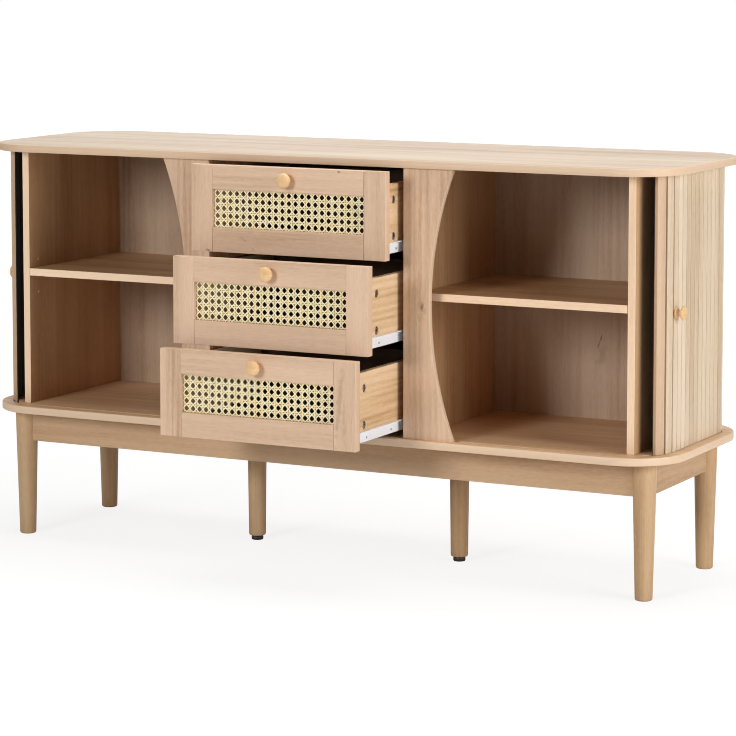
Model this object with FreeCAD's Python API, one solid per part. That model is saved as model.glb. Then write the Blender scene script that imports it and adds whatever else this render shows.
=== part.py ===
"""Sideboard with two wrap-round tambour doors and three cane-fronted drawers.

Millimetres. X runs to the right along the front, Y to the back, Z up. The origin is on the floor,
under the middle of the top board. The doors stand open and the drawers stand partly out.
"""
import FreeCAD, Part
import math
import os

Vector = FreeCAD.Vector

# Driving dimensions: carcass
WIDTH = 1480.0
DEPTH = 450.0
HEIGHT = 800.0
BOARD = 15.0
CORNER_RADIUS = 110.0
BOARD_EDGE_ROUND = 2.0
LEG_HEIGHT = 258.0
SIDE_PANEL_INSET = 76.0
SIDE_PANEL_SETBACK = 45.0
BACK_PANEL_SETBACK = 58.0
BACK_PANEL = 5.0
DRAWER_OPENING = 420.0
FASCIA = 12.0
FASCIA_SETBACK = 10.0
FASCIA_END_WIDTH = 103.0
FASCIA_HOLLOW = 49.0

# Driving dimensions: shelves
SHELF_PLAY = 0.5
SHELF_PIN_HEIGHT = 257.0
PIN_DIAMETER = 5.0
PIN_REACH = 8.0
PIN_HOLE_PLAY = 0.1
PIN_PITCH = 33.5
PIN_FRONT_SETBACK = 31.0
PIN_REAR_SETBACK = 31.0

# Driving dimensions: base
LEG_INSET_X = 64.5
LEG_INSET_Y = 69.0
LEG_TOP_DIAMETER = 46.0
LEG_FOOT_DIAMETER = 33.0
LEG_FOOT_BEVEL = 2.5
APRON_HEIGHT = 65.0
APRON = 18.0
CENTRE_LEG_SPACING = 452.0
CENTRE_LEG_TOP_DIAMETER = 40.0
CENTRE_LEG_FOOT_DIAMETER = 34.0
CENTRE_LEG_Y = 0.0
FOOT_DIAMETER = 24.0
FOOT_HEIGHT = 9.0
FOOT_STEM_DIAMETER = 8.0
FOOT_STEM_LENGTH = 22.0
FOOT_STEM_PLAY = 0.1

# Driving dimensions: tambour doors
GROOVE_INSET = 23.0
GROOVE_DEPTH = 6.0
GROOVE_PLAY = 1.2
SLAT = 8.0
SLAT_WIDTH = 20.0
SLAT_GAP = 1.0
SLAT_ROUND = 2.5
SLAT_COUNT = 34
LAST_SIDE_SLAT = 13
PAIR_A = (19, 20)
PAIR_B = (21, 22)
FIRST_REAR_SLAT = 23
SLAT_END_PLAY = 0.6
STILE_WIDTH = 21.0
CLOTH = 0.8
CLOTH_PLAY = 0.1
CLOTH_END_PLAY = 2.0
LEAD_AT_REST = 71.9
LEAD_CLOSED_X = 245.0
KNOB_SLAT = 2
DOOR_KNOB_HEIGHT = 530.0
DOOR_KNOB_DIAMETER = 26.0
DOOR_KNOB_BASE_DIAMETER = 23.0
DOOR_KNOB_WAIST_DIAMETER = 11.0
DOOR_KNOB_PROJECTION = 19.0
DOOR_KNOB_DISC = 7.0
DOOR_KNOB_BEVEL = 2.2

# Driving dimensions: drawers
DRAWER_GAP = 3.0
DRAWER_SIDE_PLAY = 2.0
DRAWER_FRONT = 18.0
FRAME_STILE = 46.0
FRAME_RAIL = 47.0
CANE_RECESS = 8.0
CANE = 2.0
CANE_LAP = 6.0
CANE_PLAY = 0.5
CANE_COLUMNS = 23
CANE_ROWS = 5
CANE_HOLE = 0.52
BOX_DEPTH = 345.0
BOX_SIDE = 12.0
BOX_TOP_DROP = 26.0
BOX_BASE_RISE = 12.0
BOX_BOTTOM = 5.0
BOX_BOTTOM_RISE = 10.0
BOX_GROOVE = 5.0
DOWEL_HOLE_DIAMETER = 9.0
DOWEL_HOLE_DEPTH = 8.0
DOWEL_HOLE_SETBACK = 40.0
DOWEL_HOLE_MARGIN = 30.0
RUNNER_GAP = 13.0
RUNNER_SHEET = 1.2
RUNNER_RISE = 20.0
RUNNER_LIP = 8.5
ROLLER_DIAMETER = 14.0
ROLLER_WIDTH = 6.0
ROLLER_PLAY = 0.3
ROLLER_PIN_DIAMETER = 4.0
ROLLER_BORE_PLAY = 0.1
FRONT_ROLLER_SETBACK = 25.0
REAR_ROLLER_SETBACK = 14.0
DRAWER_KNOB_DIAMETER = 29.0
DRAWER_KNOB_STEM_DIAMETER = 13.0
DRAWER_KNOB_PROJECTION = 23.0
DRAWER_KNOB_STEM = 8.0
DRAWER_KNOB_STEM_TAPER = 0.6
DRAWER_KNOB_CROWN_STEPS = 3
DRAWERS = (("lower", 190.0), ("middle", 140.0), ("upper", 70.0))

# Levels and planes that follow from the driving dimensions
FRONT = -DEPTH / 2
BACK = DEPTH / 2
FLOOR_TOP = LEG_HEIGHT + BOARD
CEILING = HEIGHT - BOARD
INNER_HEIGHT = CEILING - FLOOR_TOP
MID_HEIGHT = (CEILING + FLOOR_TOP) / 2
SIDE_INNER = WIDTH / 2 - SIDE_PANEL_INSET - BOARD
SIDE_OUTER = SIDE_INNER + BOARD
PANEL_FRONT = FRONT + SIDE_PANEL_SETBACK
PANEL_BACK = BACK - BACK_PANEL_SETBACK - BACK_PANEL
OPENING_HALF = DRAWER_OPENING / 2
PARTITION_OUTER = OPENING_HALF + BOARD
FASCIA_FRONT = FRONT + FASCIA_SETBACK
FASCIA_BACK = FASCIA_FRONT + FASCIA
PIN_LEVEL = LEG_HEIGHT + BOARD + SHELF_PIN_HEIGHT
SHELF_BOTTOM = PIN_LEVEL + PIN_DIAMETER / 2
PIN_FRONT_Y = PANEL_FRONT + PIN_FRONT_SETBACK
PIN_REAR_Y = PANEL_BACK - PIN_REAR_SETBACK
LEG_X = WIDTH / 2 - LEG_INSET_X
LEG_Y = DEPTH / 2 - LEG_INSET_Y
CENTRE_LEG_X = CENTRE_LEG_SPACING / 2

# The tambour's path: one arc centre at each corner, shared with the boards' corners
ARC_X = WIDTH / 2 - CORNER_RADIUS
ARC_Y = DEPTH / 2 - CORNER_RADIUS
SLAT_FACE_RADIUS = CORNER_RADIUS - GROOVE_INSET
SLAT_BACK_RADIUS = SLAT_FACE_RADIUS - SLAT
CLOTH_RADIUS = SLAT_BACK_RADIUS - CLOTH_PLAY - CLOTH / 2
ARC_LENGTH = CLOTH_RADIUS * math.pi / 2
SIDE_RUN = 2 * ARC_Y
SLAT_PITCH = SLAT_WIDTH + SLAT_GAP
LEAD_WIDTH = STILE_WIDTH + SLAT_GAP / 2
TAMBOUR_LENGTH = LEAD_WIDTH + SLAT_COUNT * SLAT_PITCH
GROOVE_OUTER = SLAT_FACE_RADIUS + GROOVE_PLAY
GROOVE_INNER = SLAT_BACK_RADIUS - CLOTH - GROOVE_PLAY
SLAT_LOW = FLOOR_TOP - GROOVE_DEPTH + SLAT_END_PLAY
SLAT_TALL = INNER_HEIGHT + 2 * (GROOVE_DEPTH - SLAT_END_PLAY)

# Drawer sizes that follow from the opening
DRAWER_COUNT = len(DRAWERS)
FRONT_HEIGHT = (INNER_HEIGHT - (DRAWER_COUNT + 1) * DRAWER_GAP) / DRAWER_COUNT
FRONT_HALF = OPENING_HALF - DRAWER_SIDE_PLAY
BOX_HALF = OPENING_HALF - RUNNER_GAP
BOX_HEIGHT = FRONT_HEIGHT - BOX_TOP_DROP - BOX_BASE_RISE
BOX_FRONT = FASCIA_FRONT + DRAWER_FRONT
ROLLER_IN = BOX_HALF + RUNNER_SHEET + (RUNNER_GAP - 2 * RUNNER_SHEET - ROLLER_WIDTH) / 2
ROLLER_RISE = RUNNER_RISE - RUNNER_SHEET - ROLLER_PLAY - ROLLER_DIAMETER / 2
TRACK_RISE = ROLLER_RISE - ROLLER_DIAMETER / 2 - ROLLER_PLAY

NODES = {}


def add(name, *solids):
    """Keep the solids of one node."""
    NODES[name] = solids[0] if len(solids) == 1 else Part.makeCompound(list(solids))


def block(x0, x1, y0, y1, z0, z1):
    """A squared board between two corners."""
    return Part.makeBox(x1 - x0, y1 - y0, z1 - z0, Vector(x0, y0, z0))


def mirrored(shape):
    """The same piece on the other side of the middle plane."""
    return shape.mirror(Vector(0, 0, 0), Vector(1, 0, 0))


def both_sides(shape):
    """A piece and its mirror image."""
    return shape, mirrored(shape)


def closed_face(edges):
    """A flat face inside the given edges, in order."""
    return Part.Face(Part.Wire([edge.toShape() for edge in edges]))


def arc_about(centre, radius, start, end):
    """An arc by its centre and two angles in degrees."""
    def at(angle):
        turn = math.radians(angle)
        return centre + Vector(math.cos(turn), math.sin(turn), 0) * radius
    return Part.Arc(at(start), at((start + end) / 2), at(end))


def line(a, b):
    """A straight edge."""
    return Part.LineSegment(a, b)


def turned(profile, place, direction):
    """A turned piece from (radius, height) points, standing on place and pointing along direction."""
    points = [Vector(radius, 0, height) for radius, height in profile]
    edges = [line(a, b) for a, b in zip(points, points[1:] + points[:1])]
    body = closed_face(edges).revolve(Vector(0, 0, 0), Vector(0, 0, 1), 360)
    body.Placement = FreeCAD.Placement(place, FreeCAD.Rotation(Vector(0, 0, 1), direction))
    return body


def top_outline(level):
    """The boards' outline: a rectangle with four quarter-round corners."""
    half_x, half_y, r = WIDTH / 2, DEPTH / 2, CORNER_RADIUS
    at = [Vector(sx * ARC_X, sy * ARC_Y, level) for sx, sy in ((1, -1), (1, 1), (-1, 1), (-1, -1))]
    edges = [
        line(Vector(-ARC_X, -half_y, level), Vector(ARC_X, -half_y, level)),
        arc_about(at[0], r, -90, 0),
        line(Vector(half_x, -ARC_Y, level), Vector(half_x, ARC_Y, level)),
        arc_about(at[1], r, 0, 90),
        line(Vector(ARC_X, half_y, level), Vector(-ARC_X, half_y, level)),
        arc_about(at[2], r, 90, 180),
        line(Vector(-half_x, ARC_Y, level), Vector(-half_x, -ARC_Y, level)),
        arc_about(at[3], r, 180, 270),
    ]
    return closed_face(edges)


def band(inner, outer, front_x, back_x, low, tall):
    """A strip that follows the right-hand tambour path, between two radii about the corner centres."""
    front_centre, back_centre = Vector(ARC_X, -ARC_Y, low), Vector(ARC_X, ARC_Y, low)
    outer_front, outer_back = -ARC_Y - outer, ARC_Y + outer
    inner_front, inner_back = -ARC_Y - inner, ARC_Y + inner
    edges = [
        line(Vector(front_x, outer_front, low), Vector(ARC_X, outer_front, low)),
        arc_about(front_centre, outer, -90, 0),
        line(Vector(ARC_X + outer, -ARC_Y, low), Vector(ARC_X + outer, ARC_Y, low)),
        arc_about(back_centre, outer, 0, 90),
        line(Vector(ARC_X, outer_back, low), Vector(back_x, outer_back, low)),
        line(Vector(back_x, outer_back, low), Vector(back_x, inner_back, low)),
        line(Vector(back_x, inner_back, low), Vector(ARC_X, inner_back, low)),
        arc_about(back_centre, inner, 90, 0),
        line(Vector(ARC_X + inner, ARC_Y, low), Vector(ARC_X + inner, -ARC_Y, low)),
        arc_about(front_centre, inner, 0, -90),
        line(Vector(ARC_X, inner_front, low), Vector(front_x, inner_front, low)),
        line(Vector(front_x, inner_front, low), Vector(front_x, outer_front, low)),
    ]
    return closed_face(edges).extrude(Vector(0, 0, tall))


def path_place(along):
    """Place on the cloth line of the right-hand door: a point and the direction the slat faces.

    The length along starts where the front run meets the corner, and grows round the side to the back.
    The direction is 0 facing the front, 90 facing the side and 180 facing the back.
    """
    if along < 0:
        return Vector(ARC_X + along, -ARC_Y - CLOTH_RADIUS, 0), 0.0
    if along < ARC_LENGTH:
        turn = along / CLOTH_RADIUS
        centre = Vector(ARC_X, -ARC_Y, 0)
        return centre + Vector(math.sin(turn), -math.cos(turn), 0) * CLOTH_RADIUS, math.degrees(turn)
    if along < ARC_LENGTH + SIDE_RUN:
        return Vector(ARC_X + CLOTH_RADIUS, -ARC_Y + along - ARC_LENGTH, 0), 90.0
    if along < 2 * ARC_LENGTH + SIDE_RUN:
        turn = (along - ARC_LENGTH - SIDE_RUN) / CLOTH_RADIUS
        centre = Vector(ARC_X, ARC_Y, 0)
        place = centre + Vector(math.cos(turn), math.sin(turn), 0) * CLOTH_RADIUS
        return place, 90 + math.degrees(turn)
    rest = along - 2 * ARC_LENGTH - SIDE_RUN
    return Vector(ARC_X - rest, ARC_Y + CLOTH_RADIUS, 0), 180.0


def slat_along(number):
    """How far behind the lead edge the middle of a slat lies."""
    return LEAD_WIDTH + (number - 0.5) * SLAT_PITCH


def on_path(shape, along, facing=None):
    """Set a piece made facing the front, with its back on the cloth line, at a place on the path."""
    place, direction = path_place(along)
    turn = FreeCAD.Rotation(Vector(0, 0, 1), direction if facing is None else facing)
    placed = shape.copy()
    placed.Placement = FreeCAD.Placement(place, turn)
    return placed


def batten(width):
    """An upright tambour batten with rounded outer corners, facing the front at the origin."""
    back = -(SLAT_BACK_RADIUS - CLOTH_RADIUS)
    face = back - SLAT
    half, r, low = width / 2, SLAT_ROUND, SLAT_LOW
    edges = [
        line(Vector(half, back, low), Vector(-half, back, low)),
        line(Vector(-half, back, low), Vector(-half, face + r, low)),
        arc_about(Vector(-half + r, face + r, low), r, 180, 270),
        line(Vector(-half + r, face, low), Vector(half - r, face, low)),
        arc_about(Vector(half - r, face + r, low), r, 270, 360),
        line(Vector(half, face + r, low), Vector(half, back, low)),
    ]
    return closed_face(edges).extrude(Vector(0, 0, SLAT_TALL))


def make_boards():
    """Top and bottom boards with rounded edges and a groove for each door."""
    groove_end = LEAD_CLOSED_X - GROOVE_PLAY
    tail, _ = path_place(LEAD_AT_REST + TAMBOUR_LENGTH)
    for name, low, groove_low in (
        ("top_board", CEILING, CEILING),
        ("bottom_board", LEG_HEIGHT, FLOOR_TOP - GROOVE_DEPTH),
    ):
        board = top_outline(low).extrude(Vector(0, 0, BOARD))
        rims = [edge for face in board.Faces if abs(face.normalAt(0, 0).z) > 0.9 for edge in face.Edges]
        board = board.makeFillet(BOARD_EDGE_ROUND, rims)
        groove = band(GROOVE_INNER, GROOVE_OUTER, groove_end, tail.x - GROOVE_PLAY, groove_low, GROOVE_DEPTH)
        for side in both_sides(groove):
            board = board.cut(side)
        add(name, board)


def pin_places():
    """Depth of the two pin rows."""
    return PIN_FRONT_Y, PIN_REAR_Y


def drilled(panel, face_x, into):
    """A panel with its rows of shelf pin holes, drilled from the face at face_x."""
    for y in pin_places():
        for step in (-1, 0, 1):
            start = Vector(face_x, y, PIN_LEVEL + step * PIN_PITCH)
            radius = PIN_DIAMETER / 2 + PIN_HOLE_PLAY
            panel = panel.cut(Part.makeCylinder(radius, PIN_REACH + PIN_HOLE_PLAY, start, Vector(into, 0, 0)))
    return panel


def make_carcass():
    """Side panels, partitions, hollow-edged fascias, back, shelves and shelf pins."""
    side = block(SIDE_INNER, SIDE_OUTER, PANEL_FRONT, PANEL_BACK, FLOOR_TOP, CEILING)
    add("side_panels", *both_sides(drilled(side, SIDE_INNER, 1)))
    partition = block(OPENING_HALF, PARTITION_OUTER, FASCIA_BACK, PANEL_BACK, FLOOR_TOP, CEILING)
    add("partitions", *both_sides(drilled(partition, PARTITION_OUTER, -1)))
    add("fascias", *both_sides(fascia()))
    add("back_panel", block(-SIDE_OUTER, SIDE_OUTER, PANEL_BACK, PANEL_BACK + BACK_PANEL, FLOOR_TOP, CEILING))
    shelf = block(
        PARTITION_OUTER + SHELF_PLAY, SIDE_INNER - SHELF_PLAY,
        PANEL_FRONT, PANEL_BACK - SHELF_PLAY,
        SHELF_BOTTOM, SHELF_BOTTOM + BOARD,
    )
    add("shelves", *both_sides(shelf))
    pins = []
    for y in pin_places():
        for start, into in ((SIDE_INNER, 1), (PARTITION_OUTER, -1)):
            pin = Part.makeCylinder(
                PIN_DIAMETER / 2, 2 * PIN_REACH, Vector(start - into * PIN_REACH, y, PIN_LEVEL), Vector(into, 0, 0))
            pins.extend(both_sides(pin))
    add("shelf_pins", *pins)


def fascia():
    """The right-hand front board beside the drawers, hollowed along its outer edge."""
    end_x = OPENING_HALF + FASCIA_END_WIDTH
    corners = [
        Vector(OPENING_HALF, FASCIA_FRONT, FLOOR_TOP),
        Vector(end_x, FASCIA_FRONT, FLOOR_TOP),
        Vector(end_x - FASCIA_HOLLOW, FASCIA_FRONT, MID_HEIGHT),
        Vector(end_x, FASCIA_FRONT, CEILING),
        Vector(OPENING_HALF, FASCIA_FRONT, CEILING),
    ]
    edges = [
        line(corners[0], corners[1]),
        Part.Arc(corners[1], corners[2], corners[3]),
        line(corners[3], corners[4]),
        line(corners[4], corners[0]),
    ]
    return closed_face(edges).extrude(Vector(0, FASCIA, 0))


def tapered_leg(top_diameter, foot_diameter, tall, low, place):
    """A turned leg with a bevelled foot."""
    top, foot, bevel = top_diameter / 2, foot_diameter / 2, LEG_FOOT_BEVEL
    profile = [(0, 0), (foot - bevel, 0), (foot, bevel), (top, tall), (0, tall)]
    return turned(profile, Vector(place.x, place.y, low), Vector(0, 0, 1))


def make_base():
    """Corner legs, apron rails between them, centre legs and their levelling feet."""
    corners = [Vector(sx * LEG_X, sy * LEG_Y, 0) for sx in (-1, 1) for sy in (-1, 1)]
    legs = [tapered_leg(LEG_TOP_DIAMETER, LEG_FOOT_DIAMETER, LEG_HEIGHT, 0, place) for place in corners]
    low, high = LEG_HEIGHT - APRON_HEIGHT, LEG_HEIGHT
    half = APRON / 2
    rails = [block(-LEG_X, LEG_X, sy * LEG_Y - half, sy * LEG_Y + half, low, high) for sy in (-1, 1)]
    rails += [block(sx * LEG_X - half, sx * LEG_X + half, -LEG_Y, LEG_Y, low, high) for sx in (-1, 1)]
    for leg in legs:
        rails = [rail.cut(leg) for rail in rails]
    add("aprons", *rails)
    centre_low = FOOT_HEIGHT
    centre_tall = LEG_HEIGHT - centre_low
    socket = FOOT_STEM_DIAMETER / 2 + FOOT_STEM_PLAY
    for side, sign in (("left", -1), ("right", 1)):
        place = Vector(sign * CENTRE_LEG_X, CENTRE_LEG_Y, 0)
        leg = tapered_leg(CENTRE_LEG_TOP_DIAMETER, CENTRE_LEG_FOOT_DIAMETER, centre_tall, centre_low, place)
        bore = Part.makeCylinder(socket, FOOT_STEM_LENGTH + FOOT_STEM_PLAY, place + Vector(0, 0, centre_low))
        legs.append(leg.cut(bore))
        add(side + "_levelling_foot", levelling_foot(place))
    add("legs", *legs)


def levelling_foot(place):
    """A disc with a chamfered rim on a screwed stem."""
    rim, stem = FOOT_DIAMETER / 2, FOOT_STEM_DIAMETER / 2
    bevel = FOOT_HEIGHT / 4
    top = FOOT_HEIGHT - FOOT_STEM_PLAY
    profile = [
        (0, 0), (rim - bevel, 0), (rim, bevel), (rim, top - bevel), (rim - bevel, top),
        (stem, top), (stem, FOOT_HEIGHT + FOOT_STEM_LENGTH), (0, FOOT_HEIGHT + FOOT_STEM_LENGTH),
    ]
    return turned(profile, place, Vector(0, 0, 1))


def make_doors():
    """Lead stile, slats, cloth and knob of each tambour door, standing open round the corner."""
    slat = batten(SLAT_WIDTH)

    def slats(first, last, facing=None):
        numbers = range(first, last + 1)
        return [on_path(slat, LEAD_AT_REST + slat_along(number), facing) for number in numbers]

    side_start = ARC_LENGTH - LEAD_AT_REST
    pieces = {
        "lead_stile": [on_path(batten(STILE_WIDTH), LEAD_AT_REST + LEAD_WIDTH / 2)],
        "slat_1": slats(1, 1),
        "front_slats": [
            on_path(slat, ARC_LENGTH, 90).translated(Vector(0, slat_along(number) - side_start, 0))
            for number in range(KNOB_SLAT, LAST_SIDE_SLAT + 1)
        ],
        "pair_a_slats": slats(*PAIR_A),
        "pair_b_slats": slats(*PAIR_B),
        "rear_slats": slats(FIRST_REAR_SLAT, SLAT_COUNT),
        "door_knob": [door_knob()],
    }
    for number in range(LAST_SIDE_SLAT + 1, PAIR_A[0]):
        pieces[f"slat_{number}"] = slats(number, number)
    tail, _ = path_place(LEAD_AT_REST + TAMBOUR_LENGTH)
    cloth = band(
        CLOTH_RADIUS - CLOTH / 2, CLOTH_RADIUS + CLOTH / 2, ARC_X - SLAT_WIDTH, tail.x,
        FLOOR_TOP + CLOTH_END_PLAY, INNER_HEIGHT - 2 * CLOTH_END_PLAY)
    pieces["tambour_cloth"] = [cloth.cut(swung_open())]
    for piece, solids in pieces.items():
        add("right_" + piece, *solids)
        add("left_" + piece, *[mirrored(solid) for solid in solids])


def swung_open():
    """The empty wedge of the front corner, ahead of the lead edge."""
    turn = math.degrees(LEAD_AT_REST / CLOTH_RADIUS)
    low, reach = FLOOR_TOP, 2 * CLOTH_RADIUS
    centre = Vector(ARC_X, -ARC_Y, low)
    lead = arc_about(centre, reach, -180, -90 + turn)
    edges = [
        line(centre, lead.StartPoint),
        lead,
        line(lead.EndPoint, centre),
    ]
    return closed_face(edges).extrude(Vector(0, 0, INNER_HEIGHT))


def door_knob():
    """A turned knob with a base ring, a waist and a disc, on its slat."""
    disc, base, waist = DOOR_KNOB_DIAMETER / 2, DOOR_KNOB_BASE_DIAMETER / 2, DOOR_KNOB_WAIST_DIAMETER / 2
    tall, bevel = DOOR_KNOB_PROJECTION, DOOR_KNOB_BEVEL
    disc_low = tall - DOOR_KNOB_DISC
    profile = [
        (0, 0), (base, 0), (base, bevel), (waist, 2 * bevel), (waist, disc_low - bevel),
        (disc - bevel, disc_low), (disc, disc_low + bevel), (disc, tall - bevel), (disc - bevel, tall), (0, tall),
    ]
    side_y = -ARC_Y + slat_along(KNOB_SLAT) + LEAD_AT_REST - ARC_LENGTH
    place = Vector(ARC_X + SLAT_FACE_RADIUS, side_y, DOOR_KNOB_HEIGHT)
    return turned(profile, place, Vector(1, 0, 0))


def make_drawer(name, low, out):
    """One drawer, drawn out of its closed place by out, with its runners and rollers."""
    front_y = FASCIA_FRONT - out
    high = low + FRONT_HEIGHT
    add(name + "_drawer_front", *drawer_frame(front_y, low, high))
    add(name + "_cane", cane_sheet(front_y, low, high))
    add(name + "_drawer_knob", drawer_knob(Vector(0, front_y, high - FRAME_RAIL / 2)))
    box_y = BOX_FRONT - out
    base = low + BOX_BASE_RISE
    add(name + "_drawer_box", *drawer_box(box_y, base))
    add(name + "_drawer_runners", *both_sides(drawer_runner(box_y, base)))
    rear_y = box_y + BOX_DEPTH - REAR_ROLLER_SETBACK
    add(name + "_rear_rollers", *both_sides(roller(rear_y, base + ROLLER_RISE)))
    front_roller_y = BOX_FRONT + FRONT_ROLLER_SETBACK
    add(name + "_front_rollers", *both_sides(roller(front_roller_y, base + ROLLER_RISE)))


def drawer_frame(front_y, low, high):
    """Two stiles and two rails, rebated behind for the cane."""
    back_y = front_y + DRAWER_FRONT
    inner = FRONT_HALF - FRAME_STILE
    rebate = block(
        -inner - CANE_LAP - CANE_PLAY, inner + CANE_LAP + CANE_PLAY, front_y + CANE_RECESS, back_y,
        low + FRAME_RAIL - CANE_LAP - CANE_PLAY, high - FRAME_RAIL + CANE_LAP + CANE_PLAY)
    stile = block(inner, FRONT_HALF, front_y, back_y, low, high)
    rails = [
        block(-inner, inner, front_y, back_y, low, low + FRAME_RAIL),
        block(-inner, inner, front_y, back_y, high - FRAME_RAIL, high),
    ]
    return [piece.cut(rebate) for piece in (*both_sides(stile), *rails)]


def cane_sheet(front_y, low, high):
    """A flat net of cane: one sheet with rows of square gaps set on their corners."""
    inner = FRONT_HALF - FRAME_STILE
    bottom, top = low + FRAME_RAIL, high - FRAME_RAIL
    y = front_y + CANE_RECESS

    def ring(x0, x1, z0, z1):
        points = [Vector(x0, y, z0), Vector(x1, y, z0), Vector(x1, y, z1), Vector(x0, y, z1), Vector(x0, y, z0)]
        return Part.makePolygon(points)

    column, row = 2 * inner / CANE_COLUMNS, (top - bottom) / CANE_ROWS
    half = CANE_HOLE * min(column, row) / 2
    gaps = []
    for i in range(CANE_COLUMNS):
        for j in range(CANE_ROWS):
            x = -inner + (i + 0.5) * column
            z = bottom + (j + 0.5) * row
            tips = [Vector(x - half, y, z), Vector(x, y, z - half), Vector(x + half, y, z), Vector(x, y, z + half)]
            gaps.append(Part.makePolygon(tips + tips[:1]))
    rim = ring(-inner - CANE_LAP, inner + CANE_LAP, bottom - CANE_LAP, top + CANE_LAP)
    return Part.makeFace([rim] + gaps, "Part::FaceMakerBullseye").extrude(Vector(0, CANE, 0))


def drawer_knob(place):
    """A small turned mushroom knob on the top rail."""
    cap, stem, tall = DRAWER_KNOB_DIAMETER / 2, DRAWER_KNOB_STEM_DIAMETER / 2, DRAWER_KNOB_PROJECTION
    crown = (tall - DRAWER_KNOB_STEM) / 2
    profile = [(0, 0), (stem, 0), (stem - DRAWER_KNOB_STEM_TAPER, DRAWER_KNOB_STEM)]
    for step in range(1, 2 * DRAWER_KNOB_CROWN_STEPS + 1):
        turn = math.pi / 2 * (step / DRAWER_KNOB_CROWN_STEPS - 1)
        profile.append((cap * math.cos(turn), tall - crown + crown * math.sin(turn)))
    return turned(profile, place, Vector(0, -1, 0))


def drawer_box(box_y, base):
    """Sides and back grooved for the bottom, and the bottom."""
    back_y = box_y + BOX_DEPTH
    top = base + BOX_HEIGHT
    inner = BOX_HALF - BOX_SIDE
    bottom_low = base + BOX_BOTTOM_RISE
    bottom = block(
        -inner - BOX_GROOVE, inner + BOX_GROOVE, box_y, back_y - BOX_SIDE + BOX_GROOVE,
        bottom_low, bottom_low + BOX_BOTTOM)
    side = block(inner, BOX_HALF, box_y, back_y, base, top).cut(bottom)
    for z in (base + DOWEL_HOLE_MARGIN, top - DOWEL_HOLE_MARGIN):
        hole = Part.makeCylinder(
            DOWEL_HOLE_DIAMETER / 2, DOWEL_HOLE_DEPTH,
            Vector(BOX_HALF, box_y + DOWEL_HOLE_SETBACK, z), Vector(-1, 0, 0))
        side = side.cut(hole)
    back = block(-inner, inner, back_y - BOX_SIDE, back_y, base, top).cut(bottom)
    return *both_sides(side), back, bottom


def bent_strip(points, y, length):
    """A pressed runner: a flat section in X and Z, run along Y."""
    corners = [Vector(x, y, z) for x, z in points]
    return Part.Face(Part.makePolygon(corners + corners[:1])).extrude(Vector(0, length, 0))


def drawer_runner(box_y, base):
    """The drawer's own runner: an angle under the side, with an outer lip and the rear roller's pin."""
    sheet, x0 = RUNNER_SHEET, BOX_HALF
    x1 = x0 + sheet
    top = base + RUNNER_RISE
    section = [
        (x0 - BOX_SIDE, base - sheet), (x1, base - sheet), (x1, top - sheet), (x0 + RUNNER_LIP, top - sheet),
        (x0 + RUNNER_LIP, top), (x0, top), (x0, base), (x0 - BOX_SIDE, base),
    ]
    strip = bent_strip(section, box_y, BOX_DEPTH)
    rear_y = box_y + BOX_DEPTH - REAR_ROLLER_SETBACK
    reach = ROLLER_IN + ROLLER_WIDTH - x1
    pin = Part.makeCylinder(ROLLER_PIN_DIAMETER / 2, reach, Vector(x1, rear_y, base + ROLLER_RISE), Vector(1, 0, 0))
    return strip.fuse(pin)


def cabinet_runner(base):
    """The fixed runner on the partition: a track for the rear roller and a pin for the front one."""
    sheet, x1 = RUNNER_SHEET, OPENING_HALF
    x0 = x1 - sheet
    track = base + TRACK_RISE
    section = [
        (ROLLER_IN, track - sheet), (x1, track - sheet), (x1, base + RUNNER_RISE), (x0, base + RUNNER_RISE),
        (x0, track), (ROLLER_IN, track),
    ]
    strip = bent_strip(section, BOX_FRONT, BOX_DEPTH)
    y = BOX_FRONT + FRONT_ROLLER_SETBACK
    pin = Part.makeCylinder(
        ROLLER_PIN_DIAMETER / 2, x0 - ROLLER_IN, Vector(ROLLER_IN, y, base + ROLLER_RISE), Vector(1, 0, 0))
    return strip.fuse(pin)


def roller(y, z):
    """A nylon roller on its pin."""
    start = Vector(ROLLER_IN, y, z)
    wheel = Part.makeCylinder(ROLLER_DIAMETER / 2, ROLLER_WIDTH, start, Vector(1, 0, 0))
    bore = ROLLER_PIN_DIAMETER / 2 + ROLLER_BORE_PLAY
    return wheel.cut(Part.makeCylinder(bore, ROLLER_WIDTH, start, Vector(1, 0, 0)))


def make_drawers():
    """The bank of drawers and the runners that carry them."""
    fixed = []
    for number, (name, out) in enumerate(DRAWERS):
        low = FLOOR_TOP + DRAWER_GAP + number * (FRONT_HEIGHT + DRAWER_GAP)
        make_drawer(name, low, out)
        fixed.extend(both_sides(cabinet_runner(low + BOX_BASE_RISE)))
    add("cabinet_runners", *fixed)


make_boards()
make_carcass()
make_base()
make_doors()
make_drawers()
os.makedirs("parts", exist_ok=True)
for node, shape in NODES.items():
    shape.exportStep(f"parts/{node}.step")
    print(f"{node:28s} solids {len(shape.Solids):3d}  valid {shape.isValid()}  volume {shape.Volume / 1000:9.1f} cm3")
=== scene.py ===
"""Looks of a sideboard with tambour doors and cane-fronted drawers.

Metres, in the part's own frame: X to the right along the front, Y to the back, Z up.
"""
import math

import bmesh
import bpy
from mathutils import Matrix, Vector


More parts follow.
